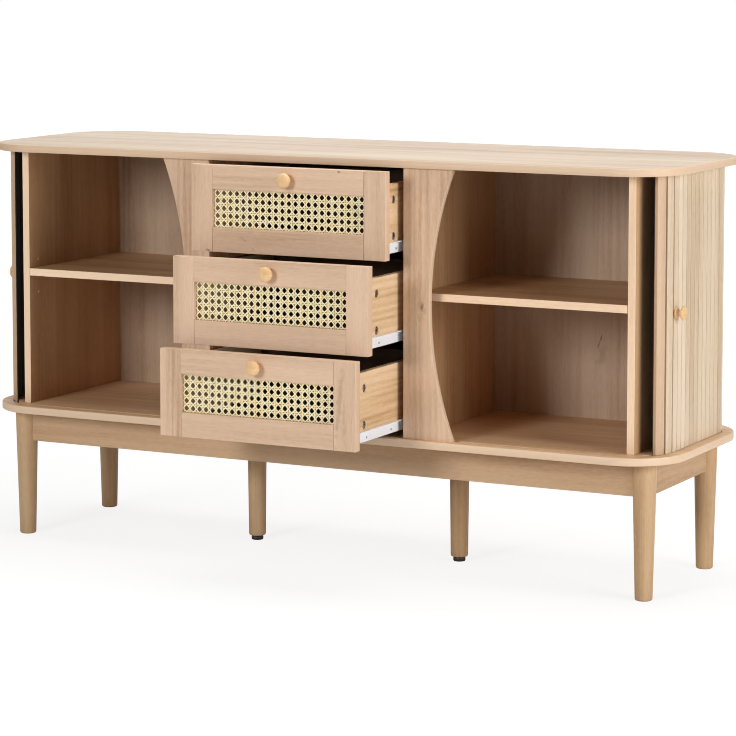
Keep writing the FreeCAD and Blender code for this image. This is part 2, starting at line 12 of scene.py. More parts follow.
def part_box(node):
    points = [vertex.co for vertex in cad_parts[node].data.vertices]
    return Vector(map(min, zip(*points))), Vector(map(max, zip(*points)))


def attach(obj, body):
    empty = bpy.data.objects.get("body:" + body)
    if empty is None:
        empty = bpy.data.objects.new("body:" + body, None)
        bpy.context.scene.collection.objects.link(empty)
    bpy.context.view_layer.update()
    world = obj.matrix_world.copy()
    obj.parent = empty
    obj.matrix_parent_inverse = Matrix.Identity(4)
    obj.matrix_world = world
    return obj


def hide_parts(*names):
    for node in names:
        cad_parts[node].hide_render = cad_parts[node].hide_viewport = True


bl_info = {
    "name": "Sideboard looks",
    "version": (1, 0, 0),
    "blender": (4, 5, 0),
    "location": "View3D > Sidebar > Sideboard",
    "description": "Wood figure, tambour slats, cane net, turned pieces and hardware of a sideboard",
    "category": "Object",
}

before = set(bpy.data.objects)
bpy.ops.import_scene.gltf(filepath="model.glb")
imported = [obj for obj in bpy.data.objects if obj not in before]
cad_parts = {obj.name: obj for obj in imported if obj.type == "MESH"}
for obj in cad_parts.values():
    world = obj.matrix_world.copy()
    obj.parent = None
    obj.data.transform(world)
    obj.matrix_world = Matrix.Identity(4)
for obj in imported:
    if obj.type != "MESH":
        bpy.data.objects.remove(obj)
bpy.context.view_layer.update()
FIGURE = "figure"
SHIFT = "slat_shift"
TONE = "strand_tone"
CABINET = "cabinet"
DRAWERS = ("lower", "middle", "upper")
SIDES = (("right", 1), ("left", -1))
X, Y, Z = 0, 1, 2
FRONT = (0, -1, 0)
UP = (0, 0, 1)
QUARTER = math.pi / 2

# Lengths of small details, in metres
SAME_PLACE = 1e-6
TIP = 0.0004
GROOVE_SLACK = 0.0012
GROOVE_FRONT_END = 0.245
GROOVE_DEPTH = 0.006
RIM_WIDTH = 0.004
BACK_EASED = 0.0003
THIN_EASED = 0.0002
PIN_DIAMETER = 0.005
CENTRE_LEG_RISE = 0.009
BORE_PLAY = (0.0004, 0.0006)
SLAT_GLUE = 0.0001
SLAT_PLAY = 0.0003
CANVAS_SHY = 0.00002
CANVAS_EASED = 0.0001
STRIP_GAP = 0.00015
FRAME_JOINT = 0.0002
FRONT_SHY = 0.0002
CANE_PLAY = 0.0005
CANE_SINK = 0.0004
REBATE_OVERRUN = 0.01
SCREW_RADIUS = 0.0022
SCREW_HEIGHT = 0.001
SCREW_RISE = 0.0075
SCREW_START = 0.045
SCREW_PITCH = 0.1
RUNNER_WEB = 0.0012
NAIL_HEIGHT = 0.0015
NAIL_INSET = 0.0075
# Steps of curves, counts and shares
GROOVE_STEPS = 16
RIM_STEPS = 18
FASCIA_STEPS = 40
SLAT_ROUND_STEPS = 5
CANE_FLATNESS = 0.22
SCREW_COUNT = 3


def shade(red, green, blue):
    """A colour as it looks on a screen, turned to the linear values that shaders use."""
    parts = [part / 255 for part in (red, green, blue)]
    return tuple(part / 12.92 if part <= 0.04045 else ((part + 0.055) / 1.055) ** 2.4 for part in parts)


def colour(label, words, red, green, blue):
    """A colour setting."""
    return bpy.props.FloatVectorProperty(
        name=label, description=words, subtype="COLOR", size=3, min=0, max=1, default=shade(red, green, blue))


def length(label, words, metres):
    """A length setting."""
    return bpy.props.FloatProperty(
        name=label, description=words, default=metres, min=0, unit="LENGTH", precision=5)


def number(label, words, value, **limits):
    """A setting that is a plain number, or an angle if its subtype says so."""
    return bpy.props.FloatProperty(name=label, description=words, default=value, **limits)


class SideboardColours(bpy.types.PropertyGroup):
    """Finishes of the sideboard."""

    cane_pale: colour("Cane, pale", "Glossy outer skin of the cane", 255, 245, 204)
    cane_deep: colour("Cane, deep", "Yellow parts of the cane", 255, 226, 146)
    canvas: colour("Canvas", "Backing of the tambour doors", 34, 35, 31)
    runner: colour("Runner", "Enamel of the drawer runners", 236, 238, 242)
    roller: colour("Roller", "Nylon of the rollers", 222, 222, 216)
    foot: colour("Levelling foot", "Plastic of the centre feet", 22, 22, 23)
    steel: colour("Steel", "Pins, nails, screws and cams", 176, 176, 178)
    # Painted shade: the cam seat colour is a dark disc in each seat that stands in for the shade in the bore
    # round the cam
    cam: colour("Cam seat", "Dark seats of the cams in the drawer sides", 74, 60, 46)


# Pale, middle and deep tone of each wood
WOOD_PARTS = {"pale": "Lightest part", "mid": "Common tone", "deep": "Darkest streaks"}
WOOD_TONES = {
    "oak": ("the boards", (208, 168, 128), (194, 152, 111), (167, 124, 86)),
    # Painted light: the bottom board's face is lighter than the other boards, standing in for light on the
    # bays' floors
    "base": ("the bottom board's face", (228, 193, 155), (215, 177, 137), (190, 150, 111)),
    # Painted shade: the apron rails are a little darker, standing in for the shade under the bottom board
    "rail": ("the apron rails", (198, 166, 132), (183, 149, 115), (156, 121, 88)),
    # Painted sheen: the top's face is greyer and whiter than the other boards, standing in for the sheen of
    # light on the top
    "top": ("the top's face", (199, 182, 160), (188, 168, 147), (169, 147, 123)),
    "front": ("the drawer fronts and fascias", (227, 194, 166), (212, 180, 151), (185, 150, 120)),
    "rim": ("the bands round the top and bottom", (224, 195, 166), (216, 186, 156), (202, 172, 142)),
    # Partly painted light: the edge band is a real lighter band, made paler still to make up for light that
    # the recessed front edges miss
    "band": ("the bands of shelves and panels", (252, 222, 190), (245, 213, 180), (231, 197, 163)),
    "back": ("the back panel", (196, 172, 148), (183, 155, 131), (154, 124, 98)),
    "slat": ("the tambour slats", (226, 206, 182), (214, 193, 165), (193, 168, 140)),
    "box": ("the drawer boxes", (233, 202, 164), (217, 182, 140), (189, 149, 106)),
    # Painted shade: the drawers' bottoms and backs are far darker than their sides, standing in for the shade
    # inside the drawers
    "floor": ("the drawers' bottoms and backs", (92, 66, 45), (80, 53, 31), (62, 41, 26)),
    "lead": ("the doors' lead stiles", (208, 177, 147), (196, 165, 135), (173, 140, 111)),
    "leg": ("the turned legs", (201, 170, 132), (188, 154, 116), (168, 133, 96)),
    "knob": ("the turned knobs", (237, 202, 154), (225, 186, 137), (207, 163, 115)),
}
SideboardColours.__annotations__.update({
    f"{kind}_{part}": colour(f"{kind.capitalize()} wood, {part}", f"{lead} of {words}", *tone)
    for kind, (words, *tones) in WOOD_TONES.items()
    for (part, lead), tone in zip(WOOD_PARTS.items(), tones)})


class SideboardSizes(bpy.types.PropertyGroup):
    """Sizes that only the looks need."""

    board: length("Board", "Thickness of the carcass boards", 0.015)
    eased: length("Eased edge", "Rounding of the boards' edges", 0.0008)
    rim_round: length("Rim rounding", "Rounding of the top and bottom boards' rims", 0.002)
    corner: length("Corner radius", "Plan radius of the top and bottom boards", 0.110)
    hollow: length("Fascia hollow", "Depth of the hollow edge of the fascias", 0.049)
    fascia_end: length("Fascia width", "Width of a fascia at its ends", 0.103)
    apron: length("Apron", "Thickness of the apron rails", 0.018)
    leg_top: length("Leg top", "Diameter of a corner leg at the top", 0.046)
    leg_foot: length("Leg foot", "Diameter of a corner leg at the floor", 0.033)
    centre_leg_top: length("Centre leg top", "Diameter of a centre leg at the top", 0.040)
    centre_leg_foot: length("Centre leg foot", "Diameter of a centre leg at its foot", 0.034)
    foot_round: length("Foot rounding", "Rounding at the bottom of the legs", 0.004)
    stem: length("Foot stem", "Diameter of a levelling foot's stem", 0.008)
    stem_length: length("Stem length", "How far a levelling foot's stem goes up into its leg", 0.022)
    path_radius: length("Cloth radius", "Radius of the canvas round a corner", 0.0785)
    slat: length("Slat thickness", "Thickness of a tambour slat", 0.008)
    slat_width: length("Slat width", "Width of a tambour slat", 0.020)
    slat_pitch: length("Slat pitch", "Distance from slat to slat", 0.021)
    slat_round: length("Slat rounding", "Rounding of a slat's outer corners", 0.0012)
    slat_ease: length("Slat easing", "How far a slat's sides stand in from its full width", 0.0006)
    shoulder: length("Slat shoulder", "How far a slat's face is set back in the grooves", 0.0026)
    stile_width: length("Lead stile", "Width of the stile at a door's lead edge", 0.021)
    lead: length("Lead pitch", "Canvas width behind the lead stile", 0.0215)
    lead_at_rest: length("Lead at rest", "How far the lead edge is round its corner", 0.0719)
    canvas: length("Canvas", "Thickness of the canvas", 0.0008)
    stile: length("Drawer stile", "Width of a drawer front's stiles", 0.046)
    rail: length("Drawer rail", "Width of a drawer front's rails", 0.047)
    recess: length("Cane recess", "How far the cane lies behind the drawer's face", 0.008)
    lap: length("Cane lap", "How far the cane runs behind the frame", 0.006)
    strand: length("Cane strand", "Width of a cane strand", 0.00215)
    pair_gap: length("Cane pair", "Distance between the two strands of a pair", 0.0029)
    weave: length("Cane weave", "How far strands bow to pass each other", 0.00045)
    columns: bpy.props.IntProperty(
        name="Cane columns", description="Gaps across a cane panel", default=23, min=1)
    rows: bpy.props.IntProperty(name="Cane rows", description="Gaps up a cane panel", default=5, min=1)
    box_side: length("Drawer side", "Thickness of the drawer sides", 0.012)
    box_bottom: length("Drawer bottom", "Thickness of the drawer bottoms", 0.005)
    bottom_rise: length("Bottom rise", "Height of a drawer's bottom above its sides' lower edge", 0.010)
    cam_seat: length("Cam seat", "Diameter of the cam seats in the drawer sides", 0.0180)
    cam_depth: length("Cam depth", "Depth of the cam seats in the drawer sides", 0.008)
    cam_setback: length("Cam setback", "Distance of the cam seats from the drawer front", 0.040)
    cam_margin: length("Cam margin", "Distance of the cam seats from the side's edges", 0.030)
    pin_hole: length("Pin hole", "Diameter of the shelf pin holes", 0.0052)
    pin_depth: length("Pin depth", "Depth of the shelf pin holes", 0.0081)
    pin_pitch: length("Pin pitch", "Distance between shelf pin holes", 0.0335)
    nail: length("Nail head", "Diameter of the back panel's nail heads", 0.006)
    nail_pitch: length("Nail pitch", "Distance between the back panel's nails", 0.140)


class SideboardStage(bpy.types.PropertyGroup):
    """Camera and light."""

    place: bpy.props.FloatVectorProperty(
        name="Camera place", description="Where the camera stands", subtype="TRANSLATION", unit="LENGTH",
        size=3, default=(2.7056, -5.2106, 1.2383))
    turn: number("Camera turn", "Turn of the camera about the upright", 0.4751, subtype="ANGLE")
    tilt: number("Camera tilt", "How far the camera looks down", 0.0987, subtype="ANGLE")
    lens: number("Lens", "Focal length in millimetres on a 36 mm frame", 146.74, min=10)
    shift: number("Lens shift", "Upright shift of the lens, as a share of the picture", -0.2)
    sharpness: number("Pixel filter", "Width of the filter between pixels", 1.0, min=0.01)
    sky: number("Sky", "Strength of the even light", 0.02, min=0)
    key: number("Front lamp", "Power of the lamp at the front in watts", 104, min=0)
    top: number("Top lamp", "Power of the lamp above in watts", 93, min=0)
    side: number("Side lamp", "Power of the lamp at the right in watts", 90, min=0)
    floor: colour("Floor", "Colour of the floor", 244, 244, 243)


def colours():
    """The colour settings."""
    return bpy.context.scene.sideboard_colours


def sizes():
    """The size settings."""
    return bpy.context.scene.sideboard_sizes


class Nodes:
    """One node tree, with short ways to add nodes to it."""

    # Sockets of a mix node that mixes colours
    MIX_FACTOR, MIX_FIRST, MIX_SECOND, MIX_RESULT = 0, 6, 7, 2

    def __init__(self, tree):
        self.tree = tree

    def feed(self, node, inputs):
        """Set inputs, given by name or number, to values or to sockets to link from."""
        for key, value in inputs.items():
            if isinstance(value, bpy.types.NodeSocket):
                self.tree.links.new(value, node.inputs[key])
            else:
                node.inputs[key].default_value = value

    def put(self, kind, inputs=None, **settings):
        """Add a node with its settings and inputs."""
        node = self.tree.nodes.new(kind)
        for name, value in settings.items():
            setattr(node, name, value)
        self.feed(node, inputs or {})
        return node

    def maths(self, operation, first, second=0.0):
        """One step of arithmetic."""
        return self.put("ShaderNodeMath", {0: first, 1: second}, operation=operation).outputs[0]

    def plus(self, first, second):
        """A sum."""
        return self.maths("ADD", first, second)

    def minus(self, first, second):
        """A difference."""
        return self.maths("SUBTRACT", first, second)

    def times(self, first, second):
        """A product."""
        return self.maths("MULTIPLY", first, second)

    def over(self, first, second):
        """A quotient."""
        return self.maths("DIVIDE", first, second)

    def weighed(self, value, weight):
        """How far a value is from the middle of its range, times a weight."""
        return self.times(self.minus(value, 0.5), weight)

    def place(self):
        """Coordinates of the object itself."""
        return self.put("ShaderNodeTexCoord").outputs["Object"]

    def figure(self):
        """Coordinates of the figure map."""
        return self.put("ShaderNodeUVMap", uv_map=FIGURE).outputs[0]

    def vectors(self, operation, *values):
        """The node for one step of arithmetic on vectors."""
        return self.put("ShaderNodeVectorMath", dict(enumerate(values)), operation=operation)

    def noise(self, place, scale, detail):
        """Noise from 0 to 1."""
        return self.put("ShaderNodeTexNoise", {
            "Vector": place, "Scale": scale, "Detail": detail}).outputs["Fac"]

    def mixed(self, amount, first, second):
        """Two colours blended."""
        ends = [
            value if isinstance(value, bpy.types.NodeSocket) else (*value, 1.0) for value in (first, second)]
        return self.put("ShaderNodeMix", {
            self.MIX_FACTOR: amount, self.MIX_FIRST: ends[0], self.MIX_SECOND: ends[1]},
            data_type="RGBA").outputs[self.MIX_RESULT]

    def ramp(self, factor, stops):
        """A colour ramp from (place, colour) stops."""
        node = self.put("ShaderNodeValToRGB", {"Fac": factor})
        elements = node.color_ramp.elements
        while len(elements) < len(stops):
            elements.new(0.5)
        for element, (place, value) in zip(elements, stops):
            element.position = place
            element.color = (*value, 1.0)
        return node.outputs["Color"]

    def spread(self, value, low, high, to_low=0.0, to_high=1.0):
        """A value mapped from one range to another, kept inside it."""
        return self.put("ShaderNodeMapRange", {
            0: value, 1: low, 2: high, 3: to_low, 4: to_high}, interpolation_type="SMOOTHSTEP").outputs[0]

    def bump(self, height, strength, distance):
        """Relief from a height."""
        return self.put("ShaderNodeBump", {
            "Height": height, "Strength": strength, "Distance": distance}).outputs["Normal"]


def new_material(name):
    """A material with its nodes and its main shader."""
    material = bpy.data.materials.get(name)
    if material:
        bpy.data.materials.remove(material)
    material = bpy.data.materials.new(name)
    material.use_nodes = True
    return material, Nodes(material.node_tree), material.node_tree.nodes["Principled BSDF"]


# Layers of the wood figure: repeats a metre along and across the grain, detail, roughness
TONE_LAYER = (0.9, 11.0, 3.0, 0.55)
STREAK_LAYER = (2.2, 60.0, 4.0, 0.55)
FIBRE_LAYER = (14.0, 480.0, 2.0, 0.55)
FLECK_LAYER = (60.0, 230.0, 2.0, 0.6)
RING_SHARE_LAYER = (0.9, 5.0, 1.0, 0.55)
PORE_LAYER = (45.0, 820.0, 1.0, 0.55)
RING_REPEATS = (1.4, 22.0)
KNOT_REPEATS = (2.1, 6.3)
# How much each layer counts in the tone, and where the three tones lie
TONE_WEIGHT = 0.70
FIBRE_WEIGHT = 0.16
FLECK_WEIGHT = 0.18
RING_WEIGHT = -2.0
SLAT_WEIGHT = 0.1
PORE_SHARE = 0.2
TONE_STOPS = (0.28, 0.48, 0.70)
DARK_SHARE = 0.40
WOOD_RELIEF = 0.0006
SKIN_RELIEF = 0.0002
CANVAS_RELIEF = 0.0003


def marked(n, base, marks, dark):
    """A colour with cracks and streaks at given places, each as (middle, half spans, lean, strength)."""
    place = n.place()
    ripple = n.weighed(n.noise(place, 90.0, 4.0), 2.2)
    for middle, spans, lean, strength in marks:
        local = n.put("ShaderNodeMapping", {
            "Vector": place, "Location": middle, "Rotation": (0, lean, 0), "Scale": spans},
            vector_type="TEXTURE").outputs[0]
        away = n.vectors("LENGTH", local).outputs["Value"]
        amount = n.spread(n.plus(away, ripple), 1.1, 0.2)
        base = n.mixed(n.times(amount, strength), base, dark)
    return base


def wood(name, kind, streaks=0.4, rings=0.05, knots=0.0, per_slat=False, relief=0.12, marks=()):
    """Straight-grained wood: broad tone, streaks, rings, fibre, flecks, pores and a few knots."""
    pale, mid, deep = (tuple(getattr(colours(), f"{kind}_{part}")) for part in WOOD_PARTS)
    dark = tuple(DARK_SHARE * part for part in deep)
    material, n, shader = new_material(name)
    place = n.figure()
    if per_slat:
        shift = n.put("ShaderNodeAttribute", attribute_name=SHIFT).outputs["Vector"]
        place = n.vectors("ADD", place, shift).outputs[0]

    def stretched(along, across):
        return n.put("ShaderNodeMapping", {"Vector": place, "Scale": (along, across, 1)}).outputs[0]

    def layer(along, across, detail, roughness):
        return n.put("ShaderNodeTexNoise", {
            "Vector": stretched(along, across), "Scale": 1.0, "Detail": detail, "Roughness": roughness},
            noise_dimensions="2D").outputs["Fac"]

    streak, fibre = layer(*STREAK_LAYER), layer(*FIBRE_LAYER)
    ring = n.put("ShaderNodeTexWave", {
        "Vector": stretched(*RING_REPEATS), "Scale": 1.0, "Distortion": 9.0, "Detail": 3.0,
        "Detail Scale": 0.8}, wave_type="BANDS", bands_direction="Y").outputs["Fac"]
    ring = n.times(ring, n.spread(layer(*RING_SHARE_LAYER), 0.42, 0.62))
    pores = n.spread(layer(*PORE_LAYER), 0.60, 0.74)
    amount = n.plus(0.5, n.weighed(layer(*TONE_LAYER), TONE_WEIGHT))
    for value, weight in (
            (streak, streaks), (fibre, FIBRE_WEIGHT), (layer(*FLECK_LAYER), FLECK_WEIGHT),
            (ring, RING_WEIGHT * rings)):
        amount = n.plus(amount, n.weighed(value, weight))
    if per_slat:
        slat_tone = n.put("ShaderNodeSeparateXYZ", {0: shift}).outputs[2]
        amount = n.plus(amount, n.times(slat_tone, SLAT_WEIGHT))
    base = n.ramp(amount, list(zip(TONE_STOPS, (deep, mid, pale))))
    base = n.mixed(n.times(pores, PORE_SHARE), base, deep)
    if knots:
        cell = n.put("ShaderNodeTexVoronoi", {
            "Vector": stretched(*KNOT_REPEATS), "Scale": 1.0}, voronoi_dimensions="2D")
        chosen = n.spread(cell.outputs["Color"], 0.66, 0.70)
        warped = n.plus(cell.outputs["Distance"], n.times(streak, 0.08))
        knot = n.times(n.spread(warped, 0.11, 0.04), chosen)
        base = n.mixed(n.times(knot, knots), base, dark)
    height = n.minus(n.plus(n.times(streak, 0.5), n.times(fibre, 0.4)), n.times(pores, 0.5))
    n.feed(shader, {
        "Base Color": marked(n, base, marks, dark) if marks else base,
        "Roughness": n.spread(streak, 0.3, 0.7, 0.52, 0.40), "Specular IOR Level": 0.32,
        "Normal": n.bump(height, relief, WOOD_RELIEF)})
    return material


def plain(name, kind, roughness, grain_scale, grain_depth, metallic=0.0, unevenness=0.08):
    """Enamel, plastic or metal: one colour with slight unevenness and a fine skin."""
    base = tuple(getattr(colours(), kind))
    material, n, shader = new_material(name)
    place = n.place()
    skin = n.noise(place, grain_scale, 3.0)
    dark = tuple(part * (1 - 2 * unevenness) for part in base)
    n.feed(shader, {
        "Base Color": n.mixed(n.spread(n.noise(place, 22.0, 2.0), 0.35, 0.65), dark, base),
        "Roughness": n.spread(skin, 0.3, 0.7, roughness - 0.06, roughness + 0.06), "Metallic": metallic,
        "Normal": n.bump(skin, grain_depth, SKIN_RELIEF)})
    return material


def canvas_material(name):
    """Black plain-weave canvas."""
    material, n, shader = new_material(name)
    place = n.figure()
    threads = [n.put("ShaderNodeTexWave", {
        "Vector": place, "Scale": 220.0, "Distortion": 0.6, "Detail": 1.0}, wave_type="BANDS",
        bands_direction=direction).outputs["Fac"] for direction in ("X", "Y")]
    weave = n.times(*threads)
    tone = n.plus(n.times(weave, 0.6), n.times(n.noise(place, 60.0, 4.0), 0.4))
    dark, light = (tuple(min(1.0, share * part) for part in colours().canvas) for share in (0.5, 1.9))
    n.feed(shader, {
        "Base Color": n.mixed(tone, dark, light), "Roughness": 0.9, "Sheen Weight": 0.15,
        "Normal": n.bump(weave, 0.4, CANVAS_RELIEF)})
    return material


def cane_material(name):
    """Split cane: glossy skin, from cream to yellow, with fine lines along the strands."""
    material, n, shader = new_material(name)
    place = n.place()
    tone = n.put("ShaderNodeAttribute", attribute_name=TONE).outputs["Fac"]
    fine = n.noise(place, 900.0, 2.0)
    amount = n.plus(n.plus(tone, n.weighed(n.noise(place, 75.0, 3.0), 1.5)), n.weighed(fine, 0.5))
    n.feed(shader, {
        "Base Color": n.ramp(amount, [(0.1, tuple(colours().cane_deep)), (0.85, tuple(colours().cane_pale))]),
        "Roughness": n.spread(fine, 0.3, 0.7, 0.60, 0.45), "Specular IOR Level": 1.0, "Coat Weight": 1.0,
        "Coat Roughness": 0.5, "Normal": n.bump(fine, 0.2, SKIN_RELIEF)})
    return material


FRONT_MARKS = (
    ((-0.094, -0.283, 0.642), (0.011, 0.1, 0.0012), 0.62, 0.8),
    ((-0.075, -0.283, 0.6265), (0.010, 0.1, 0.0010), 0.9, 0.55),
    ((-0.172, -0.283, 0.6185), (0.006, 0.1, 0.0022), 0.1, 0.7),
    ((0.111, -0.283, 0.7785), (0.004, 0.1, 0.0022), 0.2, 0.8),
    ((0.249, -0.215, 0.524), (0.0035, 0.1, 0.010), 0.25, 0.75),
    ((0.249, -0.215, 0.518), (0.009, 0.1, 0.022), 0.1, 0.3),
    ((0.174, -0.403, 0.36), (0.006, 0.1, 0.085), 0.1, 0.3),
    ((0.184, -0.403, 0.33), (0.004, 0.1, 0.05), 0.0, 0.22))
BACK_MARKS = (
    ((0.4515, 0.162, 0.4266), (0.0022, 0.1, 0.016), 0.35, 0.7),
    ((0.456, 0.162, 0.40), (0.010, 0.1, 0.03), 0.3, 0.2))
WOODS = {
    "oak_board": dict(kind="oak", streaks=0.2, rings=0.04, knots=0.3),
    # Painted light on the bottom board's face
    "oak_base": dict(kind="base", streaks=0.25, knots=0.2),
    # Painted shade on the apron rails
    "oak_rail": dict(kind="rail", streaks=0.25, rings=0.04, knots=0.2),
    # Painted sheen on the top's face
    "oak_top": dict(kind="top", streaks=0.3, relief=0.06),
    "oak_front": dict(kind="front", streaks=0.27, relief=0.1, marks=FRONT_MARKS),
    "rim_band": dict(kind="rim", streaks=0.2, rings=0.0, relief=0.05),
    "back_oak": dict(kind="back", streaks=0.3, marks=BACK_MARKS),
    # Lighter edge band, partly painted light
    "edge_band": dict(kind="band", streaks=0.2, rings=0.0, relief=0.05),
    "oak_slat": dict(kind="slat", streaks=0.3, rings=0.0, per_slat=True),
    "drawer_side": dict(kind="box", rings=0.08),
    # Painted shade inside the drawers
    "drawer_floor": dict(kind="floor", streaks=0.3, rings=0.0, relief=0.06),
    "oak_lead": dict(kind="lead", streaks=0.35, rings=0.06),
    "turned_leg": dict(kind="leg", streaks=0.35, rings=0.02, relief=0.06),
    "turned_knob": dict(kind="knob", streaks=0.2, rings=0.02, relief=0.03),
}
PLAINS = {
    "white_enamel": dict(kind="runner", roughness=0.32, grain_scale=900.0, grain_depth=0.05, unevenness=0.02),
    "nylon": dict(kind="roller", roughness=0.45, grain_scale=700.0, grain_depth=0.05),
    "black_plastic": dict(kind="foot", roughness=0.5, grain_scale=1200.0, grain_depth=0.15),
    "plain_steel": dict(kind="steel", roughness=0.32, grain_scale=1500.0, grain_depth=0.08, metallic=1.0),
    # Painted shade in the cam seats
    "cast_cam": dict(kind="cam", roughness=0.45, grain_scale=1500.0, grain_depth=0.1, metallic=0.3),
}


def finish(name):
    """A finish of this sideboard, made when it is first asked for."""
    made = bpy.data.materials.get(name)
    if made:
        return made
    if name in WOODS:
        return wood(name, **WOODS[name])
    if name in PLAINS:
        return plain(name, **PLAINS[name])
    return {"black_canvas": canvas_material, "split_cane": cane_material}[name](name)


class Stock:
    """Faces of one piece, gathered with their figure map and shading."""

    FLAT = 0.995
    FACES_BAND = 0.6

    def __init__(self):
        self.points, self.faces, self.places, self.smooth, self.slots = [], [], [], [], []

    def take(self, mesh, grain, shift, band=None, slot=0):
        """Add a mesh whose grain runs along one axis. Faces that look along band get the second finish."""
        base = len(self.points)
        self.points += [vertex.co.copy() for vertex in mesh.vertices]
        spans = [max(axis) - min(axis) for axis in zip(*self.points[base:])]
        for face in mesh.polygons:
            across = max(range(3), key=lambda i: abs(face.normal[i]))
            rest = [i for i in range(3) if i != across]
            first = grain if grain != across else max(rest, key=lambda i: spans[i])
            second = 3 - across - first
            self.faces.append([base + index for index in face.vertices])
            for index in face.vertices:
                co = mesh.vertices[index].co
                self.places.append((co[first] + shift[0], co[second] + shift[1]))
            self.smooth.append(abs(face.normal[across]) < self.FLAT)
            banded = band is not None and face.normal.dot(Vector(band)) > self.FACES_BAND
            self.slots.append(1 if banded else slot)
        bpy.data.meshes.remove(mesh)

    def add(self, points, faces, places, smooth=True, slot=0):
        """Add ready faces with a figure place for each of their corners."""
        base = len(self.points)
        self.points += points
        self.faces += [[base + index for index in face] for face in faces]
        self.places += places
        self.smooth += [smooth] * len(faces)
        self.slots += [slot] * len(faces)

    def mesh(self, name, sharp=None):
        """The gathered faces as one mesh, with edges sharper than an angle in degrees kept sharp."""
        mesh = bpy.data.meshes.new(name)
        mesh.from_pydata(self.points, [], self.faces)
        layer = mesh.uv_layers.new(name=FIGURE)
        for loop, place in zip(layer.data, self.places):
            loop.uv = place
        mesh.polygons.foreach_set("use_smooth", self.smooth)
        mesh.polygons.foreach_set("material_index", self.slots)
        if sharp:
            mesh.set_sharp_from_angle(angle=math.radians(sharp))
        mesh.validate()
        mesh.update()
        return mesh


FIGURE_STEP = (0.7548777, 0.5698403)
FIGURE_SPAN = 9.0
# First part of the figure that each kind of board takes
FIRST_FIGURE = {
    "rims": 3, "side_panels": 10, "partitions": 14, "fascias": 17, "back": 21, "shelves": 25, "legs": 30,
    "centre_legs": 36, "long_rails": 40, "short_rails": 43, "fronts": 50, "boxes": 70, "drawer_knobs": 90,
    "door_knobs": 94}
PARTS_A_DRAWER = 5


def figure_shift(kind, index=0):
    """A part of the figure for each board, spread so that no two boards look alike."""
    return tuple((FIRST_FIGURE[kind] + index) * step % 1.0 * FIGURE_SPAN for step in FIGURE_STEP)


def mesh_of(bm, name):
    """A finished bmesh as a mesh."""
    mesh = bpy.data.meshes.new(name)
    bm.to_mesh(mesh)
    bm.free()
    return mesh


def mended(mesh, operation, part, **values):
    """Change a mesh by one bmesh operation on all of its verts or faces."""
    bm = bmesh.new()
    bm.from_mesh(mesh)
    operation(bm, **{part: getattr(bm, part)[:]}, **values)
    bm.to_mesh(mesh)
    bm.free()


def linked(name, data):
    """A new object in the scene."""
    thing = bpy.data.objects.new(name, data)
    bpy.context.scene.collection.objects.link(thing)
    return thing


def settled(*things):
    """The mesh that the first object's modifiers make. The objects are then removed."""
    bpy.context.view_layer.update()
    made = bpy.data.meshes.new_from_object(things[0].evaluated_get(bpy.context.evaluated_depsgraph_get()))
    for thing in things:
        data = thing.data
        bpy.data.objects.remove(thing)
        bpy.data.meshes.remove(data)
    return made


def bevel(bm, edges, offset, segments=2):
    """Round some edges."""
    bmesh.ops.bevel(bm, geom=edges, offset=offset, segments=segments, profile=0.5, affect="EDGES")


def level_edges(bm, axis):
    """Edges whose two ends have the same place along an axis."""
    return [e for e in bm.edges if abs(e.verts[0].co[axis] - e.verts[1].co[axis]) < SAME_PLACE]


def board(low, high, eased=None):
    """A board between two corners, with eased edges."""
    low, high = Vector(low), Vector(high)
    bm = bmesh.new()
    bmesh.ops.create_cube(bm, size=1.0)
    middle, span = (low + high) / 2, high - low
    stretch = Matrix.Translation(middle) @ Matrix.Diagonal((*span, 1))
    bmesh.ops.transform(bm, matrix=stretch, verts=bm.verts)
    bevel(bm, bm.edges[:], sizes().eased if eased is None else eased)
    return mesh_of(bm, "board")


def sided_board(side, inner, outer, low, high):
    """A board between two distances from the middle, on the right or left side."""
    ends = sorted((side * inner, side * outer))
    return board((ends[0], low.y, low.z), (ends[1], high.y, high.z))


def cut(mesh, cutter):
    """A mesh with the room of another taken out of it."""
    blank, tool = linked("blank", mesh), linked("tool", cutter)
    modifier = blank.modifiers.new("cut", "BOOLEAN")
    modifier.object = tool
    modifier.operation = "DIFFERENCE"
    modifier.solver = "EXACT"
    return settled(blank, tool)


DRILL_SEGMENTS = 20
DRILL_START = 0.05
DRILL_OVERRUN = 1.1


def drills(places, diameter, depth, axis):
    """Round cutters of one size, each starting at its place and going along axis."""
    bm = bmesh.new()
    turn = Vector(UP).rotation_difference(Vector(axis)).to_matrix().to_4x4()
    for place in places:
        centre = Vector(place) + Vector(axis) * (depth / 2 - depth * DRILL_START)
        bmesh.ops.create_cone(
            bm, cap_ends=True, segments=DRILL_SEGMENTS, radius1=diameter / 2, radius2=diameter / 2,
            depth=depth * DRILL_OVERRUN, matrix=Matrix.Translation(centre) @ turn)
    return mesh_of(bm, "drills")


def running(points, closed=False):
    """Distance along a line at each of its points."""
    along = [0.0]
    for a, b in zip(points, points[1:] + (points[:1] if closed else [])):
        along.append(along[-1] + math.hypot(b[0] - a[0], b[1] - a[1]))
    return along


def arc(centre, radius, start, steps):
    """Points of a quarter circle that starts at an angle in degrees."""
    for step in range(steps + 1):
        angle = math.radians(start + 90 * step / steps)
        yield centre[0] + radius * math.cos(angle), centre[1] + radius * math.sin(angle)


